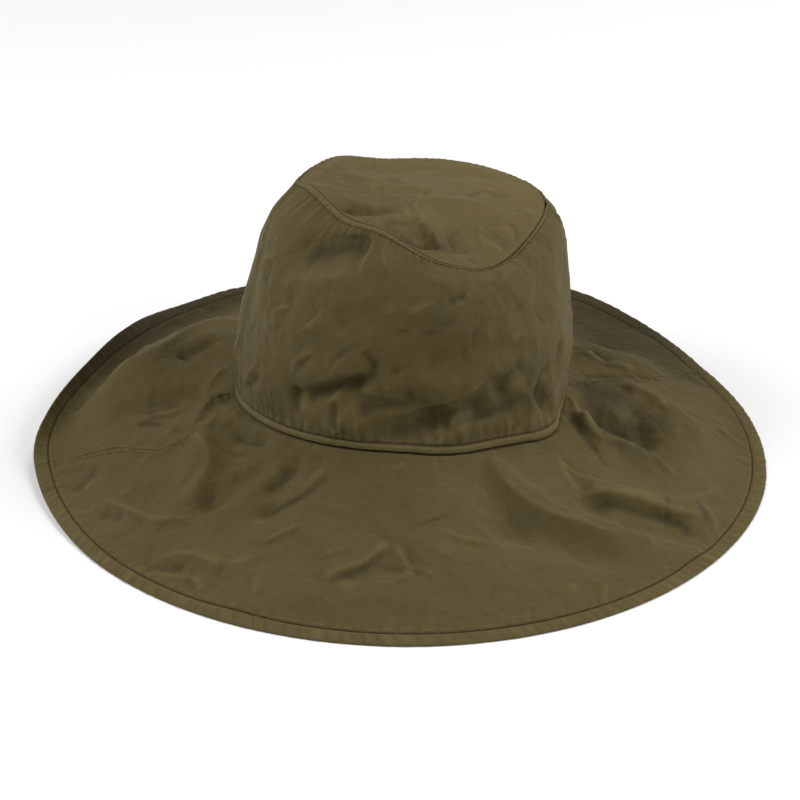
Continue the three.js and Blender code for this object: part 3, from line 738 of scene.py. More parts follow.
def crown_face(turn: Array, at: Array) -> Array:
    """The crown's wall with its main folds, before the frame's shift."""
    turn, at = np.broadcast_arrays(np.asarray(turn, float), np.asarray(at, float))
    places = tuple(column(CROWN_LEVELS, "height"))

    def level(name: str) -> Array:
        """One size of the crown at each point's height."""
        return smooth_line(places, column(CROWN_LEVELS, name), at)

    out = outward(turn)
    x = out[..., 0] * level("half_width")
    y = out[..., 1] * level("half_length")
    slump = at ** TOP_SLUMP_POWER
    z = level("z") + level("tilt_y") * y + level("tilt_x") * x + FLOOR_LIFT
    bag = np.clip(1 - at, 0, 1) ** BASE_BAG_POWER
    z = z + slump * round_column(TOP_SEAM, "up", turn) + bag * round_column(BASE_SEAM, "up", turn)
    push = (fold_rise(CROWN_FOLDS, CROWN_FOLD_SCALE, WALL_HEIGHT, turn, at)
            * smoothstep(at / FOLD_FADE)
            * smoothstep((1 - at) / FOLD_FADE) + slump * round_column(TOP_SEAM, "out", turn)
            + bag * round_column(BASE_SEAM, "out", turn))
    point = np.stack([level("middle_x") + x, level("middle_y") + y, z], axis=-1)
    return point + out * push[..., None]


def tip_face(turn: Array, at: Array) -> Array:
    """The crown's top with its main folds, before the frame's shift."""
    turn, at = np.broadcast_arrays(np.asarray(turn, float), np.asarray(at, float))
    edge = crown_face(turn, np.ones_like(at))
    up = round_column(TOP_SEAM, "up", turn)
    edge[..., 2] -= up
    point = top_middle() + (edge - top_middle()) * at[..., None]
    point[..., 2] += (up * at * at + TIP_DOME * (1 - at * at)
                      + fold_rise(TIP_FOLDS, TIP_FOLD_SCALE, TIP_RADIUS, turn, at)
                      * smoothstep((1 - at) / FOLD_FADE))
    return point


def brim_run(turn: Array, at: Array) -> Array:
    """The brim before its folds: out from the crown seam along the drooping cloth."""
    length = round_column(BRIM_SECTIONS, "length", turn)
    out = outward(turn)
    point = crown_face(turn, np.zeros_like(at))
    point[..., 2] -= SEAM_GAP
    droops = [np.radians(round_column(BRIM_SECTIONS, name, turn)) for name in BRIM_DROOPS]
    forward = np.zeros(at.shape)
    down = np.zeros(at.shape)
    reach = np.maximum(at, 0.0)
    for k in range(SLOPE_STEPS):
        droop = smooth_line(BRIM_PLACES, droops, reach * (k + 0.5) / SLOPE_STEPS)
        forward += np.cos(droop)
        down += np.sin(droop)
    step = reach * length / SLOPE_STEPS
    run = forward * step + np.minimum(at, 0.0) * length
    run = run - reach * round_column(BASE_SEAM, "out", turn)
    point = point + out * run[..., None]
    point[..., 2] -= down * step + reach * round_column(BASE_SEAM, "up", turn)
    return point


def brim_face(turn: Array, at: Array) -> Array:
    """The brim with its main folds, settled on the surface, before the frame's shift."""
    turn, at = np.broadcast_arrays(np.asarray(turn, float), np.asarray(at, float))
    point = brim_run(turn, at)
    settling = np.minimum(brim_run(turn, np.ones_like(at))[..., 2] - FLOOR_LIFT, REST_BAND)
    rise = (fold_rise(BRIM_FOLDS, BRIM_FOLD_SCALE, BRIM_CLOTH, turn, at)
            * smoothstep(at / FOLD_FADE) * smoothstep((1 - at) / FOLD_FADE))
    lowest = FLOOR_LIFT + LOWEST_SLOPE * (1 - at) * BRIM_CLOTH
    folded = point[..., 2] + rise - settling * np.maximum(at, 0.0) ** SETTLE_POWER
    point[..., 2] = np.where(at > 0, np.maximum(folded, lowest), point[..., 2])
    return point


class Form:
    """The outer face of one part's cloth, with its fine relief."""

    CREASES: tuple[Crease, ...] = ()
    WAVES: tuple[Wave, ...] = ()
    TURN_STEP = 0.4            # degrees to either side of a point, for the face's direction there
    AT_STEP = 0.004            # and the share of the cloth

    def __init__(self, shift: Array, crinkles: Crinkles, ripples: Ripples) -> None:
        """Keeps the chance relief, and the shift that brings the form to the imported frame."""
        self.shift = shift
        self.crinkles = crinkles
        self.ripples = ripples

    def face(self, turn: Array, at: Array) -> Array:
        """The face without its fine relief."""
        raise NotImplementedError

    def flat(self, turn: Array, at: Array) -> Array:
        """Places on the flat cloth, in millimetres, two columns."""
        raise NotImplementedError

    def relief(self, turn: Array, at: Array) -> Array:
        """The fine relief, in millimetres out of the face."""
        raise NotImplementedError

    def normal(self, turn: Array, at: Array) -> Array:
        """The direction out of the face."""
        turn, at = np.broadcast_arrays(np.asarray(turn, float), np.asarray(at, float))
        high = np.minimum(at + self.AT_STEP, 1.0)
        around = self.face(turn + self.TURN_STEP, at) - self.face(turn - self.TURN_STEP, at)
        along = self.face(turn, high) - self.face(turn, high - 2 * self.AT_STEP)
        return unit(np.cross(around, along))

    def surface(self, turn: Array, at: Array, lift: float = 0.0) -> Array:
        """The finished face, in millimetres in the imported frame, moved out by lift."""
        turn, at = np.broadcast_arrays(np.asarray(turn, float), np.asarray(at, float))
        rise = (self.relief(turn, at) + lift)[..., None]
        return self.face(turn, at) + self.normal(turn, at) * rise + self.shift

    def fading_and_painted_light(self, turn: Array, at: Array) -> Array:
        """How much paler, 1, or darker, -1, the colour is drawn than its relief tells: worn edges, and
        painted light and shade.
        """
        return np.zeros(np.broadcast(turn, at).shape)

    def painted_light_and_shade(self, shades: tuple[Crease, ...], turn: Array, at: Array) -> Array:
        """Painted light and shade along the paths of a table."""
        turn, at = np.broadcast_arrays(np.asarray(turn, float), np.asarray(at, float))
        points = self.flat(turn.ravel(), at.ravel())
        return self.crease_rise(shades, points).reshape(turn.shape)

    def crease_rise(self, creases: tuple[Crease, ...], points: Array) -> Array:
        """The rise of all drawn creases at points on the flat cloth."""
        total = np.zeros(len(points))
        for crease in creases:
            turns = np.array([place[0] for place in crease.path], float)
            turns = turns[0] + wrapped(turns - turns[0])
            ats = np.array([place[1] for place in crease.path])
            path = curve_through(self.path_on_flat(turns, ats), CREASE_STEPS)
            total += crease.height * ridge_along(path, points, crease.left, crease.right,
                                                 crease.sharp, crease.fade)
        return total

    def path_on_flat(self, turns: Array, ats: Array) -> Array:
        """A path's corners on the flat cloth."""
        return self.flat(turns, ats)

    def loose_rise(self, points: Array) -> Array:
        """Drawn creases, chance crinkles and ripples, wherever no seam holds the cloth."""
        x, y = points.T
        total = self.crease_rise(self.CREASES, points) + self.crinkles.rise(points)
        for wave in self.WAVES:
            total += wave.rise * self.ripples.height(x + wave.from_x, y + wave.from_y, wave.length)
        return total


def seam_turn(seams: dict[Side, tuple[float, ...]], side: Side, at: Array) -> Array:
    """The turn of a side seam at a place."""
    return smooth_line(SEAM_PLACES, seams[side], np.clip(at, 0, 1))


@dataclass(frozen=True)
class SideSeam:
    """A side seam: pressed open and topstitched on both sides."""

    row_gap: float = 2.2       # from the seam to each row of stitches
    raised: float = 0.45       # rise of the cloth over the seam allowances
    half_width: float = 4.6    # of the seam allowances
    pucker: float = 0.8        # height of the small folds that cross it

    def relief(self, away: Array, along: Array, puckers: Puckers) -> Array:
        """The seam's relief at a signed distance from it, in millimetres."""
        near = np.abs(away)
        return (band(away, self.half_width, self.raised, 1.6)
                + groove(near, 0.6, 0.8)
                + groove(near - self.row_gap, 0.6, 0.6)
                + self.pucker * (puckers.rise(along, near) - 0.35) * np.exp(-(near / 6.0) ** 2))


class CrownWall(Form):
    """The crown's wall: two panels, sewn to the top and to the brim."""

    CREASES = CROWN_CREASES
    WAVES = (Wave(0.60, 31.0), Wave(0.38, 14.0, from_y=57), Wave(0.16, 7.0, from_x=31))
    BACK_FADE = 9.0            # degrees over which relief dies out where the flat cloth's ends meet
    LIP = 3.2                  # the sewn lip along the brim seam
    LIP_RISE = 0.75
    LIP_PUFF = 0.40            # height of the puffs along the lip
    LIP_WEAR = 1.3             # how much paler the lip has rubbed
    GATHER_RISE = 0.85         # height of the gathers above the lip
    GATHER_SLANT = 0.10        # lean of those gathers
    GATHER_SINK = 0.25         # how far the cloth between them sinks
    SINK_REACH = 14.0          # and how far up the wall
    TOP_LIP = 2.0              # the strip over the allowances under the top seam
    TOP_LIP_RISE = 0.30
    TOP_LIP_WEAR = 0.6
    TOP_GATHER_RISE = 0.80     # height of the gathers under the top seam
    CORNER_RISE = 0.9          # the lump of allowances where a side seam meets the top seam
    CORNER_REACH = 4.0
    SEAM = SideSeam()

    def __init__(self, shift: Array) -> None:
        """Draws the wall's gathers and crinkles."""
        crinkles = Crinkles(190, (-290.0, 4.0), (290.0, WALL_HEIGHT - 4), 15, (8.0, 40.0),
                            (0.2, 0.95))
        super().__init__(shift, crinkles, Ripples(16))
        around = 2 * math.pi * BASE_RADIUS
        self.low_gathers = Puckers(around, ((0, 6.5), (90, 5.5), (180, 8), (270, 5.5)), 11, 1.6,
                                   (3.5, 16.0))
        self.lip_puckers = Puckers(around, ((0, 3.2), (180, 3.2)), 12, 0.7, (4.0, 7.0))
        self.top_gathers = Puckers(around, ((0, 4.0), (90, 4.4), (180, 5), (270, 5.5)), 13, 1.2,
                                   (3.5, 9.0))
        self.seam_puckers = Puckers(WALL_HEIGHT * 1.2, ((0, 4.2), (180, 4.2)), 14, 0.8, (4.0, 8.0))

    def face(self, turn: Array, at: Array) -> Array:
        """The wall with its main folds."""
        return crown_face(turn, at)

    def flat(self, turn: Array, at: Array) -> Array:
        """Places on the flat cloth: round from the front, and up from the brim seam."""
        return np.stack([np.radians(wrapped(turn)) * BASE_RADIUS, np.asarray(at) * WALL_HEIGHT], -1)

    def path_on_flat(self, turns: Array, ats: Array) -> Array:
        """A path's corners, kept together where it crosses the back."""
        start = float(wrapped(turns[0]))
        return np.stack([np.radians(turns - turns[0] + start) * BASE_RADIUS, ats * WALL_HEIGHT], -1)

    def relief(self, turn: Array, at: Array) -> Array:
        """Creases, gathers, crinkles and seams of the wall."""
        shape = turn.shape
        turn, at = turn.ravel(), at.ravel()
        points = self.flat(turn, at)
        up = at * WALL_HEIGHT
        down = WALL_HEIGHT - up
        along = np.radians(turn % 360.0) * BASE_RADIUS
        inside = smoothstep(up / 9.0) * smoothstep(down / 8.0)
        inside = inside * smoothstep((180 - np.abs(wrapped(turn))) / self.BACK_FADE)
        total = self.loose_rise(points) * inside
        above = np.maximum(up - self.LIP, 0.0)
        gathers = self.low_gathers.rise(along + self.GATHER_SLANT * up, above)
        sink = self.GATHER_SINK * np.exp(-(above / self.SINK_REACH) ** 2)
        total += self.GATHER_RISE * (gathers - sink) * smoothstep(above / 1.5)
        total += band(up, self.LIP, self.LIP_RISE, 1.0)
        total += self.LIP_PUFF * self.lip_puckers.rise(along, np.abs(up - self.LIP))
        total += groove(up - self.LIP - LINE_GAP, 0.7, 0.8)
        total += self.TOP_GATHER_RISE * self.top_gathers.rise(along, down) * smoothstep(down / 1.2)
        total += band(down, self.TOP_LIP, self.TOP_LIP_RISE, 0.9) + groove(down, 0.55, 0.75)
        total += groove(down - self.TOP_LIP, 0.4, 0.28)
        for side in Side:
            away = np.radians(wrapped(turn - seam_turn(CROWN_SEAMS, side, at))) * BASE_RADIUS
            total += self.SEAM.relief(away, up, self.seam_puckers) * smoothstep((up - 3) / 3)
            corner = np.hypot(away, down)
            total += self.CORNER_RISE * np.exp(-(corner / self.CORNER_REACH) ** 2)
        return total.reshape(shape)

    def fading_and_painted_light(self, turn: Array, at: Array) -> Array:
        """The lip and the edge over the top seam's allowances rub pale; the crown's table adds painted
        shade and light.
        """
        up = at * WALL_HEIGHT
        edges = (self.LIP_WEAR * band(up, self.LIP, 1.0)
                 + self.TOP_LIP_WEAR * band(WALL_HEIGHT - up, self.TOP_LIP, 1.0))
        return edges + self.painted_light_and_shade(CROWN_PAINTED_SHADE, turn, at)


class CrownTop(Form):
    """The crown's top: one round panel."""

    CREASES = TIP_CREASES
    WAVES = (Wave(0.90, 27.0), Wave(0.42, 12.0, from_x=31), Wave(0.15, 6.0, from_y=17))
    GATHER_RISE = 0.3          # height of the gathers along the seam
    TOP_LIGHT_TURN = 130             # the side of the top that is painted lightest
    TOP_PAINTED_LIGHT = 0.60            # how much painted light the whole top takes
    TOP_PAINTED_LIGHT_SLOPE = 0.55           # and how much more on that side
    LEVEL_STEP = 0.6           # millimetres to either side of a point, for the face's direction

    def __init__(self, shift: Array) -> None:
        """Draws the top's crinkles and gathers."""
        crinkles = Crinkles(70, (-66.0, -66.0), (66.0, 66.0), 22, (10.0, 44.0), (0.3, 1.4))
        super().__init__(shift, crinkles, Ripples(23))
        self.gathers = Puckers(2 * math.pi * TIP_RADIUS, ((0, 5.0), (180, 6.0)), 21, 1.0, (3.0, 7.0))

    def face(self, turn: Array, at: Array) -> Array:
        """The top with its main folds."""
        return tip_face(turn, at)

    def flat(self, turn: Array, at: Array) -> Array:
        """Places on the flat cloth, seen from above."""
        return outward(turn)[..., :2] * (np.asarray(at) * TIP_RADIUS)[..., None]

    def normal(self, turn: Array, at: Array) -> Array:
        """The direction out of the face, from level steps that also work in its middle."""
        turn, at = np.broadcast_arrays(np.asarray(turn, float), np.asarray(at, float))
        place = self.flat(turn, np.minimum(at, 0.985))
        step = self.LEVEL_STEP

        def moved(dx: float, dy: float) -> Array:
            """The face a level step away on the flat cloth."""
            x, y = place[..., 0] + dx, place[..., 1] + dy
            return self.face(np.degrees(np.arctan2(x, -y)), np.hypot(x, y) / TIP_RADIUS)

        return unit(np.cross(moved(step, 0) - moved(-step, 0), moved(0, step) - moved(0, -step)))

    def relief(self, turn: Array, at: Array) -> Array:
        """Creases, crinkles and the sewn edge of the top."""
        shape = turn.shape
        turn, at = turn.ravel(), at.ravel()
        points = self.flat(turn, at)
        inward = (1 - at) * TIP_RADIUS
        along = np.radians(turn % 360.0) * TIP_RADIUS
        total = self.loose_rise(points) * smoothstep(inward / 7.0)
        total += self.GATHER_RISE * self.gathers.rise(along, inward) * smoothstep(inward / 1.2)
        total += groove(inward, 0.7, 0.8)
        return total.reshape(shape)

    def fading_and_painted_light(self, turn: Array, at: Array) -> Array:
        """The top is painted lighter all over, more towards its back right side, and takes the painted
        light and shade of its table.
        """
        painted_light = self.TOP_PAINTED_LIGHT + self.TOP_PAINTED_LIGHT_SLOPE * at * np.cos(np.radians(turn - self.TOP_LIGHT_TURN))
        return painted_light + self.painted_light_and_shade(TIP_PAINTED_SHADE, turn, at)


class Brim(Form):
    """The brim: two panels from the crown out to the hem."""

    CREASES = BRIM_CREASES
    WAVES = (Wave(0.50, 38.0), Wave(0.30, 16.0, from_x=57), Wave(0.13, 7.5, from_y=31))
    SEAM = SideSeam(row_gap=2.3, raised=0.45, half_width=4.8, pucker=0.95)
    RIM_RADIUS = 205.0
    HEM_PADS = ((0, 7.0), (30, 5.2), (60, 5.0), (90, 5.5), (120, 7), (180, 7), (210, 5.0),
                (240, 4.2), (270, 4.4), (300, 6.0), (330, 8.0))
    HEM_SLANT = 0.35           # lean of the hem's puffs
    HEM_TUCK_RISE = 0.55       # height of the tucks that run in from the hem
    ROOT_TUCK_RISE = 0.6       # and of those that run out from the crown
    PAINTED_SHADE_PLACES = ((142, 37, 0.42), (212, 30, 0.72))   # (turn, reach, place) of the painted shade on the back of the brim
    PAINTED_SHADE_DEPTH = 1.6         # how dark the painted shade is
    PAINTED_SHADE_EDGE = 4            # the power of its edge round the hat, higher for a sharper one

    def __init__(self, shift: Array) -> None:
        """Draws the brim's puckers and crinkles."""
        crinkles = Crinkles(260, (-215.0, -215.0), (215.0, 215.0), 34, (10.0, 56.0), (0.15, 0.85))
        super().__init__(shift, crinkles, Ripples(35))
        self.rim_around = 2 * math.pi * self.RIM_RADIUS
        self.hem_pads = Puckers(self.rim_around, self.HEM_PADS, 31, 0.55, (60.0, 61.0))
        self.hem_tucks = Puckers(self.rim_around, self.HEM_PADS, 31, 1.3, (4.0, 13.0))
        self.root_tucks = Puckers(2 * math.pi * BASE_RADIUS, ((0, 9.0), (180, 9.0)), 32, 1.5,
                                  (6.0, 20.0))
        self.seam_puckers = Puckers(BRIM_CLOTH * 1.2, ((0, 4.4), (180, 4.4)), 33, 0.8, (5.0, 10.0))

    def face(self, turn: Array, at: Array) -> Array:
        """The brim with its main folds."""
        return brim_face(turn, at)

    def normal(self, turn: Array, at: Array) -> Array:
        """The direction out of the face, which points up."""
        return -super().normal(turn, at)

    def length(self, turn: Array) -> Array:
        """The brim's cloth from the crown seam to the rim."""
        return round_column(BRIM_SECTIONS, "length", turn)

    def flat(self, turn: Array, at: Array) -> Array:
        """Places on the flat cloth, seen from above."""
        radius = BASE_RADIUS + np.asarray(at) * self.length(turn)
        return outward(turn)[..., :2] * radius[..., None]

    def place_from_rim(self, turn: Array, from_rim: Array) -> Array:
        """The place on the brim at a distance in from its rim."""
        return 1 - from_rim / self.length(turn)

    def relief(self, turn: Array, at: Array) -> Array:
        """Creases, tucks, crinkles and seams of the brim."""
        shape = turn.shape
        turn, at = turn.ravel(), at.ravel()
        points = self.flat(turn, at)
        from_root = at * self.length(turn)
        from_hem = (1 - at) * self.length(turn) - HEM_WIDTH
        inside = smoothstep(from_root / 8.0) * smoothstep(from_hem / 9.0)
        total = self.loose_rise(points) * inside
        rim_along = np.radians(turn % 360.0) / (2 * math.pi) * self.rim_around
        tucks = self.hem_tucks.rise(rim_along - self.HEM_SLANT * from_hem, np.maximum(from_hem, 0))
        total += self.HEM_TUCK_RISE * tucks * smoothstep((from_hem - 0.3) / 1.5)
        total += groove(from_hem, 0.75, 0.75)
        root_along = np.radians(turn % 360.0) * BASE_RADIUS
        root_tucks = self.root_tucks.rise(root_along, from_root)
        total += self.ROOT_TUCK_RISE * root_tucks * smoothstep(from_root / 3.0)
        total += groove(from_root, 1.5, 0.9)
        for side in Side:
            swing = np.radians(wrapped(turn - seam_turn(BRIM_SEAMS, side, at)))
            away = swing * (BASE_RADIUS + from_root)
            total += (self.SEAM.relief(away, from_root, self.seam_puckers)
                      * smoothstep(from_root / 4.0) * smoothstep((from_hem + 1) / 2.0))
        return total.reshape(shape)

    def fading_and_painted_light(self, turn: Array, at: Array) -> Array:
        """Painted shade on the back of the brim, and the painted light and shade of the brim's table.
        """
        total = self.painted_light_and_shade(BRIM_PAINTED_SHADE, turn, at)
        for middle, reach, inner in self.PAINTED_SHADE_PLACES:
            spread = np.exp(-(wrapped(turn - middle) / reach) ** self.PAINTED_SHADE_EDGE)
            total = total - self.PAINTED_SHADE_DEPTH * spread * smoothstep((at - inner) / 0.2)
        return total


# ---------------------------------------------------------------------------------------------
# Meshes
# ---------------------------------------------------------------------------------------------
WEAR_REACH = 2.6           # millimetres over which a crest or a groove is felt
WEAR_SCALE = 0.30          # millimetres of crest that count as fully worn


def deselect_all() -> None:
    """Leaves nothing selected, so that an operator acts on its own piece only."""
    for item in bpy.context.selected_objects:
        item.select_set(False)


def only(item: bpy.types.Object) -> None:
    """Makes one object the selected and active one."""
    deselect_all()
    item.select_set(True)
    bpy.context.view_layer.objects.active = item


def wear_of(heights: Array, step: float) -> Array:
    """How each point of a grid of heights stands out: 1 on a crest, which is drawn worn and pale, -1 in
    a groove, which is drawn darker.

    Args:
        heights: the relief at each point of the grid, millimetres.
        step: millimetres between the grid's points.

    Returns:
        The wear at each point.
    """
    reach = max(round(WEAR_REACH / step), 1)
    padded = np.pad(heights, reach, mode="edge")
    size = heights.shape
    around = sum(padded[reach + dr:reach + dr + size[0], reach + dc:reach + dc + size[1]]
                 for dr, dc in ((reach, 0), (-reach, 0), (0, reach), (0, -reach))) / 4
    return np.clip((heights - around) / WEAR_SCALE, -1, 1)


def dress_mesh(mesh: bpy.types.Mesh, points: Array, flat: Array, wear: Array) -> None:
    """Gives a mesh its points, its cloth coordinates and its wear.

    Args:
        mesh: the mesh, whose vertices are in the points' order.
        points: millimetres, three columns.
        flat: each vertex's place on the flat cloth, millimetres, two columns.
        wear: each vertex's wear, and its paler or darker drawn colour from worn edges and painted light
            and shade, two columns.
    """
    mesh.vertices.foreach_set("co", (points * MM).astype(np.float32).ravel())
    corners = np.empty(len(mesh.loops), np.int32)
    mesh.loops.foreach_get("vertex_index", corners)
    layer = mesh.uv_layers[0] if mesh.uv_layers else mesh.uv_layers.new(name="cloth")
    layer.name = "cloth"
    layer.data.foreach_set("uv", flat[corners].astype(np.float32).ravel())
    for name, values in zip(("wear", "fading_and_painted_light"), wear.T):
        attribute = mesh.attributes.new(name, "FLOAT", "POINT")
        attribute.data.foreach_set("value", values.astype(np.float32))
    mesh.shade_smooth()
    mesh.update()


def cloth_grid(name: str, points: Array, flat: Array, wear: Array) -> bpy.types.Object:
    """A sheet of cloth from a grid of points.

    Args:
        name: the piece's name.
        points: rows by columns by 3, millimetres.
        flat: rows by columns by 2, millimetres.
        wear: rows by columns by 2, wear, and paler or darker drawn colour from worn edges and painted
            light and shade.

    Returns:
        The piece, at the origin.
    """
    rows, columns = points.shape[:2]
    deselect_all()
    bpy.ops.mesh.primitive_grid_add(x_subdivisions=columns - 1, y_subdivisions=rows - 1,
                                    size=1, calc_uvs=True)
    sheet = bpy.context.active_object
    sheet.name = name
    sheet.data.name = name
    dress_mesh(sheet.data, points.reshape(-1, 3), flat.reshape(-1, 2), wear.reshape(-1, 2))
    return sheet


def cloth_ring(name: str, points: Array, flat: Array, wear: Array) -> bpy.types.Object:
    """A closed ring of closed sections, such as a rolled edge.

    Args:
        name: the piece's name.
        points: sections by points of a section by 3, millimetres.
        flat: each point's place on the flat cloth, millimetres.
        wear: each point's wear, and its paler or darker drawn colour from worn edges and painted light
            and shade.

    Returns:
        The piece, at the origin, with its faces outwards.
    """
    count, around = points.shape[:2]
    index = np.arange(count * around).reshape(count, around)
    following = np.roll(index, -1, axis=0)
    faces = np.stack([index, following, np.roll(following, -1, axis=1), np.roll(index, -1, axis=1)], -1)
    mesh = bpy.data.meshes.new(name)
    mesh.from_pydata((points.reshape(-1, 3) * MM).tolist(), [], faces.reshape(-1, 4).tolist())
    ring = bpy.data.objects.new(name, mesh)
    bpy.context.scene.collection.objects.link(ring)
    dress_mesh(mesh, points.reshape(-1, 3), flat.reshape(-1, 2), wear.reshape(-1, 2))
    only(ring)
    bpy.ops.object.mode_set(mode="EDIT")
    bpy.ops.mesh.select_all(action="SELECT")
    bpy.ops.mesh.normals_make_consistent(inside=False)
    bpy.ops.object.mode_set(mode="OBJECT")
    return ring


def give_thickness(sheet: bpy.types.Object, thickness: float) -> None:
    """Turns a sheet into a wall of even thickness inside its face."""
    only(sheet)
    wall = sheet.modifiers.new("wall", "SOLIDIFY")
    wall.thickness = thickness * MM
    wall.offset = -1
    wall.use_even_offset = True
    bpy.ops.object.modifier_apply(modifier=wall.name)


def graded(length: float, step: float, fine: float, margin: float) -> Array:
    """Places from 0 to 1 along a length, closer together near both ends.

    Args:
        length: millimetres.
        step: millimetres between places in the middle.
        fine: millimetres between places at the ends.
        margin: millimetres from each end over which the places are close.

    Returns:
        Rising places from 0 to 1.
    """
    samples = np.linspace(0, length, 2000)
    near = np.minimum(samples, length - samples)
    density = 1 / (fine + (step - fine) * smoothstep((near - margin) / (margin + 1e-9)))
    sums = np.concatenate([[0], np.cumsum((density[1:] + density[:-1]) / 2 * np.diff(samples))])
    count = int(math.ceil(sums[-1]))
    return np.interp(np.linspace(0, sums[-1], count + 1), sums, samples) / length


@dataclass(frozen=True)
class Detail:
    """How finely the cloth is divided, in millimetres."""

    step: float
    fine: float

    @staticmethod
    def chosen() -> "Detail":
        return Detail(1.3, 0.62)


def panel_grid(form: Form, seams: dict[Side, tuple[float, ...]], is_front: bool, places: Array,
               around: float, detail: Detail) -> tuple[Array, Array]:
    """Turns and places of a panel that runs from one side seam to the other.

    Args:
        form: the form that the panel belongs to; not used.
        seams: the form's side seams.
        is_front: the front panel, or else the back one.
        places: the places of the panel's rows.
        around: millimetres from seam to seam, about the panel's middle.
        detail: the panel's division.

    Returns:
        Two grids, the turns and the places.
    """
    left = seam_turn(seams, Side.LEFT, places)
    right = seam_turn(seams, Side.RIGHT, places)
    start, end = (left - 360, right) if is_front else (right, left)
    shares = graded(around, detail.step, detail.fine, 7.0)
    turns = start[:, None] + (end - start)[:, None] * shares[None]
    return turns, np.broadcast_to(places[:, None], turns.shape)


# ---------------------------------------------------------------------------------------------
# Stitching
# ---------------------------------------------------------------------------------------------
@dataclass(frozen=True)
class Stitch:
    """One lockstitch as it shows on the cloth, in millimetres."""

    pitch: float = 2.4         # from one stitch to the next
    length: float = 1.5
    thread: float = 0.55       # width of the thread
    sink: float = 0.14         # how deep the thread's middle lies in the cloth


STITCH_LIFT = 0.45         # millimetres that a row stands out of its groove


class Sewing:
    """Rows of stitches, each stitch a copy of one small model."""

    def __init__(self, stitch: Stitch) -> None:
        """Models the one stitch: a short thread whose ends dive into the cloth."""
        self.stitch = stitch
        deselect_all()
        bpy.ops.mesh.primitive_uv_sphere_add(segments=6, ring_count=5, radius=0.5)
        model = bpy.context.active_object
        mesh = model.data
        corners = np.empty(len(mesh.vertices) * 3)
        mesh.vertices.foreach_get("co", corners)
        shape = corners.reshape(-1, 3)[:, [2, 0, 1]]
        along = shape[:, 0] * 2
        self.points = np.stack([
            shape[:, 0] * stitch.length,
            shape[:, 1] * stitch.thread,
            shape[:, 2] * stitch.thread - 0.45 * stitch.thread * along ** 2,
        ], axis=-1)
        self.faces = [tuple(face.vertices) for face in mesh.polygons]
        bpy.data.objects.remove(model)
        bpy.data.meshes.remove(mesh)

    def row(self, name: str, line: Array, normals: Array) -> bpy.types.Object:
        """One row of stitches along a line on the cloth.

        Args:
            name: the piece's name.
            line: closely spaced points along the row, millimetres.
            normals: the direction out of the cloth at each point.

        Returns:
            The row, one mesh.
        """
        steps = np.linalg.norm(np.diff(line, axis=0), axis=1)
        sums = np.concatenate([[0], np.cumsum(steps)])
        count = max(int(sums[-1] / self.stitch.pitch), 1)
        middles = (np.arange(count) + 0.5) * sums[-1] / count

        def read(values: Array, where: Array) -> Array:
            """Values along the line, one column at a time."""
            return np.stack([np.interp(where, sums, values[:, k]) for k in range(3)], axis=-1)

        place = read(line, middles) - self.stitch.sink * unit(read(normals, middles))
        half = self.stitch.length / 2
        way = unit(read(line, middles + half) - read(line, middles - half))
        up = unit(read(normals, middles))
        side = unit(np.cross(up, way))
        up = np.cross(way, side)
        copies = (place[:, None] + way[:, None] * self.points[None, :, :1]
                  + side[:, None] * self.points[None, :, 1:2] + up[:, None] * self.points[None, :, 2:])
        offset = len(self.points)
        faces = [tuple(v + k * offset for v in face) for k in range(count) for face in self.faces]
        mesh = bpy.data.meshes.new(name)
        mesh.from_pydata((copies.reshape(-1, 3) * MM).tolist(), [], faces)
        mesh.shade_smooth()
        row = bpy.data.objects.new(name, mesh)
        bpy.context.scene.collection.objects.link(row)
        return row


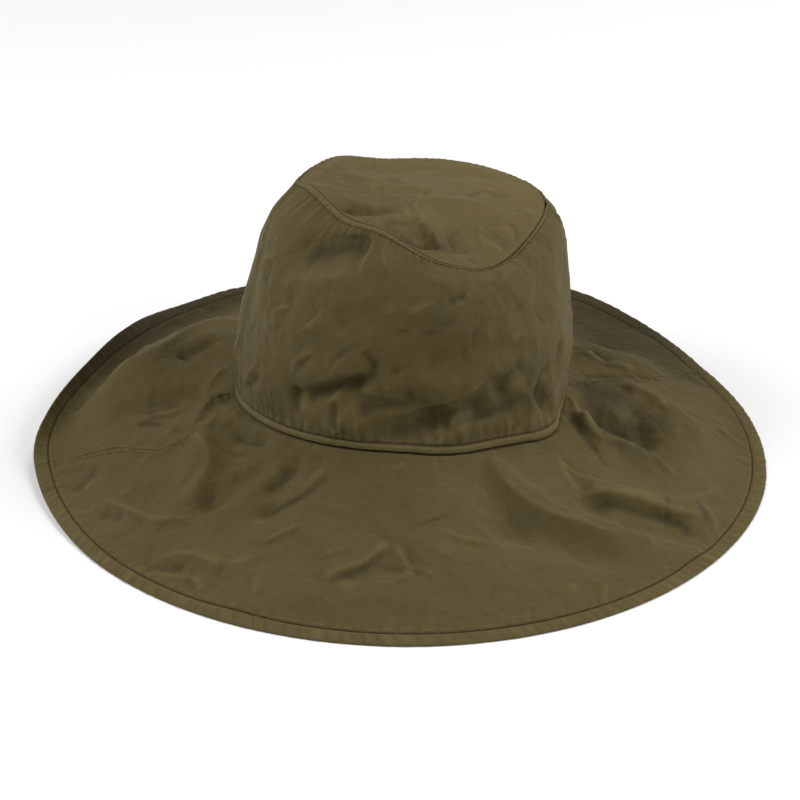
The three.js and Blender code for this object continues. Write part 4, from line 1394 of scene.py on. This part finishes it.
# ---------------------------------------------------------------------------------------------
# Finishes
# ---------------------------------------------------------------------------------------------
class Nodes:
    """A short way to build a material's nodes."""

    def __init__(self, name: str) -> None:
        """Starts a material with a Principled shader."""
        self.material = bpy.data.materials.new(name)
        self.material.use_nodes = True
        self.tree = self.material.node_tree
        self.shader = self.tree.nodes["Principled BSDF"]

    def add(self, kind: str, inputs: dict[str | int, object] | None = None,
            **settings: object) -> bpy.types.Node:
        """Adds a node, sets its properties and feeds its inputs."""
        node = self.tree.nodes.new(kind)
        for key, value in settings.items():
            setattr(node, key, value)
        self.feed(node, inputs or {})
        return node

    def feed(self, node: bpy.types.Node, inputs: dict[str | int, object]) -> None:
        """Gives each named input of a node a socket or a plain value."""
        for key, value in inputs.items():
            if isinstance(value, bpy.types.NodeSocket):
                self.tree.links.new(value, node.inputs[key])
            else:
                node.inputs[key].default_value = value

    def noise(self, vector: bpy.types.NodeSocket, scale: float, detail: float = 3.0,
              rough: float = 0.55) -> bpy.types.NodeSocket:
        """A noise texture's value."""
        return self.add("ShaderNodeTexNoise", {"Scale": scale, "Detail": detail, "Roughness": rough,
                                               "Vector": vector}).outputs["Fac"]

    def stretched(self, vector: bpy.types.NodeSocket, x: float, y: float) -> bpy.types.NodeSocket:
        """Coordinates stretched along the cloth's two directions."""
        return self.add("ShaderNodeMapping", {"Scale": (x, y, 1.0),
                                              "Vector": vector}).outputs["Vector"]

    def ranged(self, value: bpy.types.NodeSocket, low: float, high: float, to_low: float,
               to_high: float) -> bpy.types.NodeSocket:
        """A value moved from one range to another, and kept inside it."""
        return self.add("ShaderNodeMapRange", {"From Min": low, "From Max": high, "To Min": to_low,
                                               "To Max": to_high, "Value": value},
                        clamp=True).outputs["Result"]

    def mixed(self, share: bpy.types.NodeSocket, *colours: object) -> bpy.types.NodeSocket:
        """A mix of two colours, each a socket or a plain colour."""
        first, second = ((*c, 1.0) if isinstance(c, tuple) else c for c in colours)
        return self.add("ShaderNodeMix", {0: share, 6: first, 7: second},
                        data_type="RGBA", blend_type="MIX").outputs[2]

    def bumps(self, *heights: tuple[bpy.types.NodeSocket, float, float]) -> bpy.types.NodeSocket:
        """Bumps on top of each other, each a height, its distance in metres and its strength."""
        under = {}
        for height, distance, strength in heights:
            node = self.add("ShaderNodeBump", {"Distance": distance, "Strength": strength,
                                               "Height": height, **under})
            under = {"Normal": node.outputs["Normal"]}
        return under["Normal"]


@dataclass(frozen=True)
class WashedCotton:
    """Garment-washed olive cotton: faded crests, darker grooves, painted light and shade, a fine plain
    weave.
    """

    name: str = "washed_cotton"
    ground: tuple[float, float, float] = (0.083, 0.0592, 0.0150)
    green: tuple[float, float, float] = (0.077, 0.0588, 0.0158)
    # the pale colour below serves worn, faded cloth and painted light; the dark one dye streaks,
    # grooves and painted shade
    faded_and_lit: tuple[float, float, float] = (0.145, 0.1090, 0.0380)
    deep_and_shaded: tuple[float, float, float] = (0.023, 0.0165, 0.0045)
    thread: float = 0.42       # millimetres from one thread of the weave to the next
    WAVE_LENGTH: ClassVar[float] = 0.314   # millimetres between bands of the wave texture at scale 1

    def build(self) -> bpy.types.Material:
        """Builds the material."""
        nodes = Nodes(self.name)
        cloth = nodes.add("ShaderNodeUVMap", uv_map="cloth").outputs["UV"]
        place = nodes.add("ShaderNodeTexCoord").outputs["Object"]
        wear = nodes.add("ShaderNodeAttribute", attribute_name="wear").outputs["Fac"]

        fading_and_painted_light = nodes.add("ShaderNodeAttribute", attribute_name="fading_and_painted_light").outputs["Fac"]

        hue = nodes.ranged(nodes.noise(place, 26.0, 4.0, 0.6), 0.30, 0.70, 0.0, 1.0)
        dye = nodes.mixed(hue, self.ground, self.green)
        streaks = nodes.noise(nodes.stretched(cloth, 1.1, 0.06), 1.0, 2.0)
        # what a layer follows, the range that counts, the layer's share at its ends, its colour
        for source, low, high, at_low, at_high, colour in (
                (nodes.noise(place, 11.0, 5.0, 0.62), 0.35, 0.65, 0.0, 0.09, self.faded_and_lit),
                (streaks, 0.35, 0.70, 0.0, 0.10, self.deep_and_shaded),
                (wear, 0.20, 1.0, 0.0, 0.38, self.faded_and_lit),
                (wear, -1.0, -0.20, 0.50, 0.0, self.deep_and_shaded),
                # painted light and shade, together with the rubbed pale lip, top edge and hem
                (fading_and_painted_light, 0.0, 1.5, 0.0, 0.60, self.faded_and_lit),
                (fading_and_painted_light, -1.5, 0.0, 0.85, 0.0, self.deep_and_shaded),
                (nodes.noise(cloth, 1.35, 2.0, 0.7), 0.56, 0.76, 0.0, 0.42, self.faded_and_lit),
                (nodes.noise(cloth, 0.9, 3.0, 0.7), 0.30, 0.46, 0.34, 0.0, self.deep_and_shaded)):
            dye = nodes.mixed(nodes.ranged(source, low, high, at_low, at_high), dye, colour)

        threads = {"Scale": self.WAVE_LENGTH / self.thread, "Distortion": 0.6, "Detail": 1.0,
                   "Vector": cloth}
        warp, weft = (nodes.add("ShaderNodeTexWave", threads, bands_direction=way).outputs["Fac"]
                      for way in "XY")
        weave = nodes.add("ShaderNodeMath", {0: warp, 1: weft}, operation="ADD").outputs["Value"]
        slubs = nodes.noise(nodes.stretched(cloth, 2.2, 0.35), 1.0, 3.0)
        crumple = nodes.noise(cloth, 0.16, 4.0, 0.55)
        broad, narrow = (nodes.add("ShaderNodeTexVoronoi", {"Scale": scale, "Vector": cloth},
                                   feature="F1").outputs["Distance"] for scale in (0.045, 0.13))
        normal = nodes.bumps((weave, 0.00008, 0.6), (slubs, 0.00034, 0.6), (crumple, 0.0022, 0.5),
                             (broad, 0.0034, 0.6), (narrow, 0.0011, 0.6))

        rough = nodes.ranged(nodes.noise(place, 60.0), 0.3, 0.7, 0.66, 0.80)
        nodes.feed(nodes.shader, {"Base Color": dye, "Normal": normal, "Roughness": rough,
                                  "Specular IOR Level": 0.22, "Sheen Weight": 0.10,
                                  "Sheen Roughness": 0.5, "Sheen Tint": (1.0, 0.85, 0.55, 1.0)})
        return nodes.material


@dataclass(frozen=True)
class SewingThread:
    """Polyester thread dyed with the cloth, a little darker."""

    name: str = "sewing_thread"
    dark: tuple[float, float, float] = (0.012, 0.009, 0.003)
    light: tuple[float, float, float] = (0.030, 0.023, 0.009)

    def build(self) -> bpy.types.Material:
        """Builds the material."""
        nodes = Nodes(self.name)
        place = nodes.add("ShaderNodeTexCoord").outputs["Object"]
        share = nodes.ranged(nodes.noise(place, 900.0, 1.0), 0.42, 0.62, 0.0, 1.0)
        twist = nodes.noise(place, 2600.0, 1.0)
        nodes.feed(nodes.shader, {"Base Color": nodes.mixed(share, self.dark, self.light),
                                  "Normal": nodes.bumps((twist, 0.00008, 0.5)),
                                  "Roughness": 0.6, "Specular IOR Level": 0.3})
        return nodes.material


@dataclass(frozen=True)
class PaleFloor:
    """A plain matt white surface."""

    name: str = "pale_floor"
    color: tuple[float, float, float] = (0.90, 0.90, 0.90)

    def build(self) -> bpy.types.Material:
        """Builds the material."""
        nodes = Nodes(self.name)
        nodes.feed(nodes.shader, {"Base Color": (*self.color, 1.0), "Roughness": 0.9,
                                  "Specular IOR Level": 0.0})
        return nodes.material


# ---------------------------------------------------------------------------------------------
# Sub-assemblies
# ---------------------------------------------------------------------------------------------
def finish_piece(piece: bpy.types.Object, material: bpy.types.Material, *nodes: str) -> None:
    """Dresses a piece, seats it on the hat's body and lets it stand for CAD nodes."""
    piece.data.materials.clear()
    piece.data.materials.append(material)
    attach(piece, "root")
    if nodes:
        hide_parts(*nodes)
    LOG.info("%s: %d faces", piece.name, len(piece.data.polygons))


@dataclass
class Assembly:
    """Pieces of the hat that share their place, their finishes and their division."""

    shift: Array
    cotton: bpy.types.Material
    thread: bpy.types.Material
    detail: Detail

    def cloth(self, node: str, form: Form, turns: Array, ats: Array, flat: Array) -> None:
        """One panel of cloth, which stands for its CAD node."""
        wear = np.stack([wear_of(form.relief(turns, ats), self.detail.step),
                         form.fading_and_painted_light(turns, ats)], axis=-1)
        sheet = cloth_grid(f"{node}_cloth", form.surface(turns, ats), flat, wear)
        give_thickness(sheet, CLOTH)
        finish_piece(sheet, self.cotton, node)

    def stitch(self, sewing: Sewing, name: str, form: Form, turns: Array, ats: Array) -> None:
        """One row of stitches through places on the cloth."""
        row = sewing.row(name, form.surface(turns, ats, STITCH_LIFT), form.normal(turns, ats))
        finish_piece(row, self.thread)


@dataclass
class CrownAssembly(Assembly):
    """The crown: its top, its two wall panels and their stitching."""

    top_gap: float = 0.25      # clear line between the wall and the top

    def build(self, sewing: Sewing) -> None:
        """Builds the crown's pieces."""
        wall = CrownWall(self.shift)
        for is_front in (True, False):
            self.wall_panel(wall, is_front)
        self.top_panel(CrownTop(self.shift))
        self.stitching(wall, sewing)

    def wall_panel(self, wall: CrownWall, is_front: bool) -> None:
        """One panel of the wall, from side seam to side seam."""
        top = 1 - self.top_gap / WALL_HEIGHT
        places = top * graded(WALL_HEIGHT, self.detail.step, self.detail.fine, 6.0)
        turns, ats = panel_grid(wall, CROWN_SEAMS, is_front, places, 286.0, self.detail)
        name = "crown_front" if is_front else "crown_back"
        flat = wall.flat(turns, ats)
        if not is_front:
            flat[..., 0] %= 2 * math.pi * BASE_RADIUS
        self.cloth(name, wall, turns, ats, flat)

    def top_panel(self, top: CrownTop) -> None:
        """The round top, from a square grid whose rings become circles."""
        steps = 2 * graded(2.0 * TIP_RADIUS, self.detail.step, self.detail.fine, 5.0) - 1
        x, y = np.meshgrid(steps, steps)
        ring = np.maximum(np.abs(x), np.abs(y))
        safe = np.where(ring > 0, ring, 1.0)
        upright = np.abs(y) >= np.abs(x)
        angle = np.where(upright, np.where(y < 0, 45 * x / safe, 180 - 45 * x / safe),
                         np.where(x > 0, 90 + 45 * y / safe, 270 - 45 * y / safe))
        place = ring * (1 - self.top_gap / TIP_RADIUS)
        self.cloth("crown_tip", top, angle, place, top.flat(angle, place))

    def stitching(self, wall: CrownWall, sewing: Sewing) -> None:
        """Topstitching over the brim seam, under the top seam and beside the side seams."""
        turns = np.linspace(0, 360, 1441)
        for name, place in (("base_topstitch", (wall.LIP + LINE_GAP) / WALL_HEIGHT),
                            ("top_topstitch", 1 - wall.TOP_LIP / WALL_HEIGHT)):
            self.stitch(sewing, name, wall, turns, np.full_like(turns, place))
        ats = np.linspace((wall.LIP + 1.5) / WALL_HEIGHT, 1 - 3.0 / WALL_HEIGHT, 260)
        for side in Side:
            for word, away in (("front", wall.SEAM.row_gap), ("back", -wall.SEAM.row_gap)):
                sign = 1 if side is Side.LEFT else -1
                swing = math.degrees(sign * away / BASE_RADIUS)
                turns = seam_turn(CROWN_SEAMS, side, ats) + swing
                self.stitch(sewing, f"crown_{side.value}_{word}_topstitch", wall, turns, ats)


@dataclass
class BrimAssembly(Assembly):
    """The brim: its two panels, its hem and their stitching."""

    root_margin: float = 2.0   # cloth under the crown's wall
    hem_puff: float = 0.95     # height of the hem's puffs over the grooves between them
    hem_wobble: float = 0.45   # how far the puffs push the rim out
    hem_fading: float = 0.40   # the edge rubs and fades more than the cloth inside it
    hem_painted_shade: float = 1.4   # and takes the brim's painted light and shade this strongly
    mean_puff: float = 0.62    # the puffs' height that leaves the hem at its section
    rim_reach: float = 1.4     # millimetres from the rim over which it is pushed out

    def build(self, sewing: Sewing) -> None:
        """Builds the brim's pieces."""
        brim = Brim(self.shift)
        for is_front in (True, False):
            self.panel(brim, is_front)
        self.hem(brim)
        self.stitching(brim, sewing)

    def panel(self, brim: Brim, is_front: bool) -> None:
        """One panel of the brim, from the crown out to the hem's stitch line."""
        places = graded(BRIM_CLOTH - HEM_WIDTH, self.detail.step, self.detail.fine, 5.0)
        margin = -self.root_margin / BRIM_CLOTH
        shares = np.concatenate([[margin, margin / 2], places])[::-1]
        turns, rows = panel_grid(brim, BRIM_SEAMS, is_front, shares, 490.0, self.detail)
        ats = np.where(rows > 0, rows * brim.place_from_rim(turns, HEM_WIDTH), rows)
        name = "brim_front" if is_front else "brim_back"
        self.cloth(name, brim, turns, ats, brim.flat(turns, ats))

    def hem(self, brim: Brim) -> None:
        """The turned edge: a ring of rounded sections, puffed between its small grooves."""
        # distance in from the rim, height, and share of the puffs
        section = np.array([
            (8.0, -0.75, 0.0), (7.6, -0.30, 0.25), (7.0, 0.02, 0.55), (6.0, 0.22, 0.85),
            (4.6, 0.30, 1.0), (3.2, 0.30, 1.0), (1.9, 0.24, 0.95), (0.9, 0.05, 0.85),
            (0.25, -0.30, 0.7), (0.0, -0.65, 0.45), (0.2, -1.00, 0.2), (0.8, -1.25, 0.0),
            (2.0, -1.40, 0.0), (4.0, -1.50, 0.0), (6.2, -1.60, 0.0), (7.5, -1.60, 0.0),
            (8.0, -1.3, 0.0),
        ])
        step = self.detail.step * 0.85
        turns = np.linspace(0, 360, int(brim.rim_around / step) + 1)[:-1]
        turn, from_rim = np.meshgrid(turns, section[:, 0], indexing="ij")
        above = np.broadcast_to(section[:, 1], turn.shape)
        share = np.broadcast_to(section[:, 2], turn.shape)
        along = np.radians(turn) / (2 * math.pi) * brim.rim_around
        puff = brim.hem_pads.rise(along + Brim.HEM_SLANT * (from_rim - HEM_WIDTH / 2), 0.0)
        puff = self.hem_puff * (puff - self.mean_puff) * share
        at = brim.place_from_rim(turn, from_rim)
        normal = brim.normal(turn, at)
        rim_share = np.exp(-(from_rim / self.rim_reach) ** 2) * share
        wobble = self.hem_wobble * (brim.hem_pads.rise(along, 0.0) - 0.5) * rim_share
        point = brim.face(turn, at) + normal * (above + puff)[..., None]
        point = point + outward(turn) * wobble[..., None] + self.shift
        point[..., 2] = np.maximum(point[..., 2], 0.0)
        wear = np.clip(0.2 + puff / (0.4 * self.hem_puff), -1, 1)
        # the hem's rubbed paleness, with the brim's painted light and shade added
        fading_and_painted_light = self.hem_fading + self.hem_painted_shade * brim.fading_and_painted_light(turn, at)
        ring = cloth_ring("brim_hem_cloth", point, brim.flat(turn, at), np.stack([wear, fading_and_painted_light], -1))
        finish_piece(ring, self.cotton, "brim_hem")

    def stitching(self, brim: Brim, sewing: Sewing) -> None:
        """The hem's stitch line and the topstitching beside the side seams."""
        turns = np.linspace(0, 360, 2161)
        ats = brim.place_from_rim(turns, HEM_WIDTH + 0.15)
        self.stitch(sewing, "hem_stitching", brim, turns, ats)
        ats = np.linspace(2.5 / BRIM_CLOTH, 1 - (HEM_WIDTH + 0.6) / BRIM_CLOTH, 300)
        for side in Side:
            for word, away in (("front", brim.SEAM.row_gap), ("back", -brim.SEAM.row_gap)):
                sign = 1 if side is Side.LEFT else -1
                middle = seam_turn(BRIM_SEAMS, side, ats)
                radius = BASE_RADIUS + ats * brim.length(middle)
                turns = middle + np.degrees(sign * away / radius)
                self.stitch(sewing, f"brim_{side.value}_{word}_topstitch", brim, turns, ats)


def stand(name: str, data: bpy.types.ID, target: Vector, azimuth: float, elevation: float,
          distance: float) -> bpy.types.Object:
    """Stands a light or a camera round and above the target, looking at it.

    Args:
        name: the object's name.
        data: the light or the camera.
        target: what it looks at.
        azimuth: degrees round from straight in front, to the right.
        elevation: degrees above the surface.
        distance: metres from the target.

    Returns:
        The light's or the camera's object.
    """
    turn, rise = math.radians(azimuth), math.radians(elevation)
    way = Vector((math.sin(turn) * math.cos(rise), -math.cos(turn) * math.cos(rise), math.sin(rise)))
    item = bpy.data.objects.new(name, data)
    bpy.context.scene.collection.objects.link(item)
    item.location = target + way * distance
    item.rotation_euler = (-way).to_track_quat("-Z", "Y").to_euler()
    return item


@dataclass(frozen=True)
class Softbox:
    """A round soft light that looks at the hat."""

    name: str
    azimuth: float             # degrees round from straight in front, to the right
    elevation: float           # degrees above the surface
    power: float               # watts
    size: float = 1.0          # metres across
    distance: float = 2.2      # metres from the hat

    def build(self, target: Vector) -> None:
        """Adds the light."""
        data = bpy.data.lights.new(self.name, "AREA")
        data.shape = "DISK"
        data.size = self.size
        data.energy = self.power
        stand(self.name, data, target, self.azimuth, self.elevation, self.distance)


@dataclass
class Studio:
    """The floor, the soft light and the camera."""

    aim: Vector
    azimuth: float = -12.0     # degrees round from straight in front
    elevation: float = 29.0    # degrees above the surface
    distance: float = 1.7      # metres
    lens: float = 137.0        # millimetres
    floor_size: float = 12.0   # metres
    lights: tuple[Softbox, ...] = (
        Softbox("left_low", 270, 40, 24.5),
        Softbox("left_high", 270, 66, 7.0),
        Softbox("left_front", 315, 40, 5.0),
        Softbox("right_front_low", 45, 14, 7.5),
        Softbox("right_front", 45, 40, 13.0),
        Softbox("right_low", 90, 35, 20.5),
        Softbox("back_right_high", 135, 66, 13.5),
        Softbox("back_left_low", 225, 14, 6.0),
    )
    fill: float = 0.02         # light from all round
    backdrop: float = 0.80     # brightness of what the camera sees past the floor

    def build(self) -> None:
        """Builds the stage."""
        self.floor()
        for light in self.lights:
            light.build(self.aim)
        world = bpy.data.worlds.new("studio")
        world.use_nodes = True
        tree = world.node_tree
        background = tree.nodes["Background"]
        background.inputs["Color"].default_value = (1.0, 1.0, 1.0, 1.0)
        seen = tree.nodes.new("ShaderNodeLightPath")
        strength = tree.nodes.new("ShaderNodeMapRange")
        strength.inputs["To Min"].default_value = self.fill
        strength.inputs["To Max"].default_value = self.backdrop
        tree.links.new(seen.outputs["Is Camera Ray"], strength.inputs["Value"])
        tree.links.new(strength.outputs["Result"], background.inputs["Strength"])
        bpy.context.scene.world = world
        bpy.context.scene.view_settings.view_transform = "Standard"
        self.camera()

    def floor(self) -> None:
        """A wide plain surface under the hat."""
        deselect_all()
        bpy.ops.mesh.primitive_plane_add(size=self.floor_size, location=(0, 0, 0))
        floor = bpy.context.active_object
        floor.name = "studio_floor"
        floor.data.materials.append(PaleFloor().build())

    def camera(self) -> None:
        """A long lens that looks down on the hat from a little to its left."""
        data = bpy.data.cameras.new("camera")
        data.lens = self.lens
        data.sensor_width = 36.0
        data.clip_end = 50.0
        bpy.context.scene.camera = stand("camera", data, self.aim, self.azimuth, self.elevation,
                                         self.distance)


def frame_shift() -> Array:
    """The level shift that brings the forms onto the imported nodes, from the crown's top."""
    low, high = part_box("crown_tip")
    edge = crown_face(np.arange(0, 360, 5.0), np.ones(72))
    middle = (edge.max(axis=0) + edge.min(axis=0)) / 2
    return np.array([(low[0] + high[0]) / 2 / MM - middle[0],
                     (low[1] + high[1]) / 2 / MM - middle[1], 0.0])


def main() -> None:
    """Builds the hat and its stage."""
    logging.basicConfig(level=logging.INFO, format="%(message)s")
    shift = frame_shift()
    LOG.info("shift %s", np.round(shift, 3))
    cotton = WashedCotton().build()
    thread = SewingThread().build()
    detail = Detail.chosen()
    sewing = Sewing(Stitch())
    CrownAssembly(shift, cotton, thread, detail).build(sewing)
    BrimAssembly(shift, cotton, thread, detail).build(sewing)
    aim = Vector((shift[0] * MM, shift[1] * MM, (AIM_HEIGHT + FLOOR_LIFT) * MM))
    Studio(aim).build()


if __name__ == "__main__":
    main()
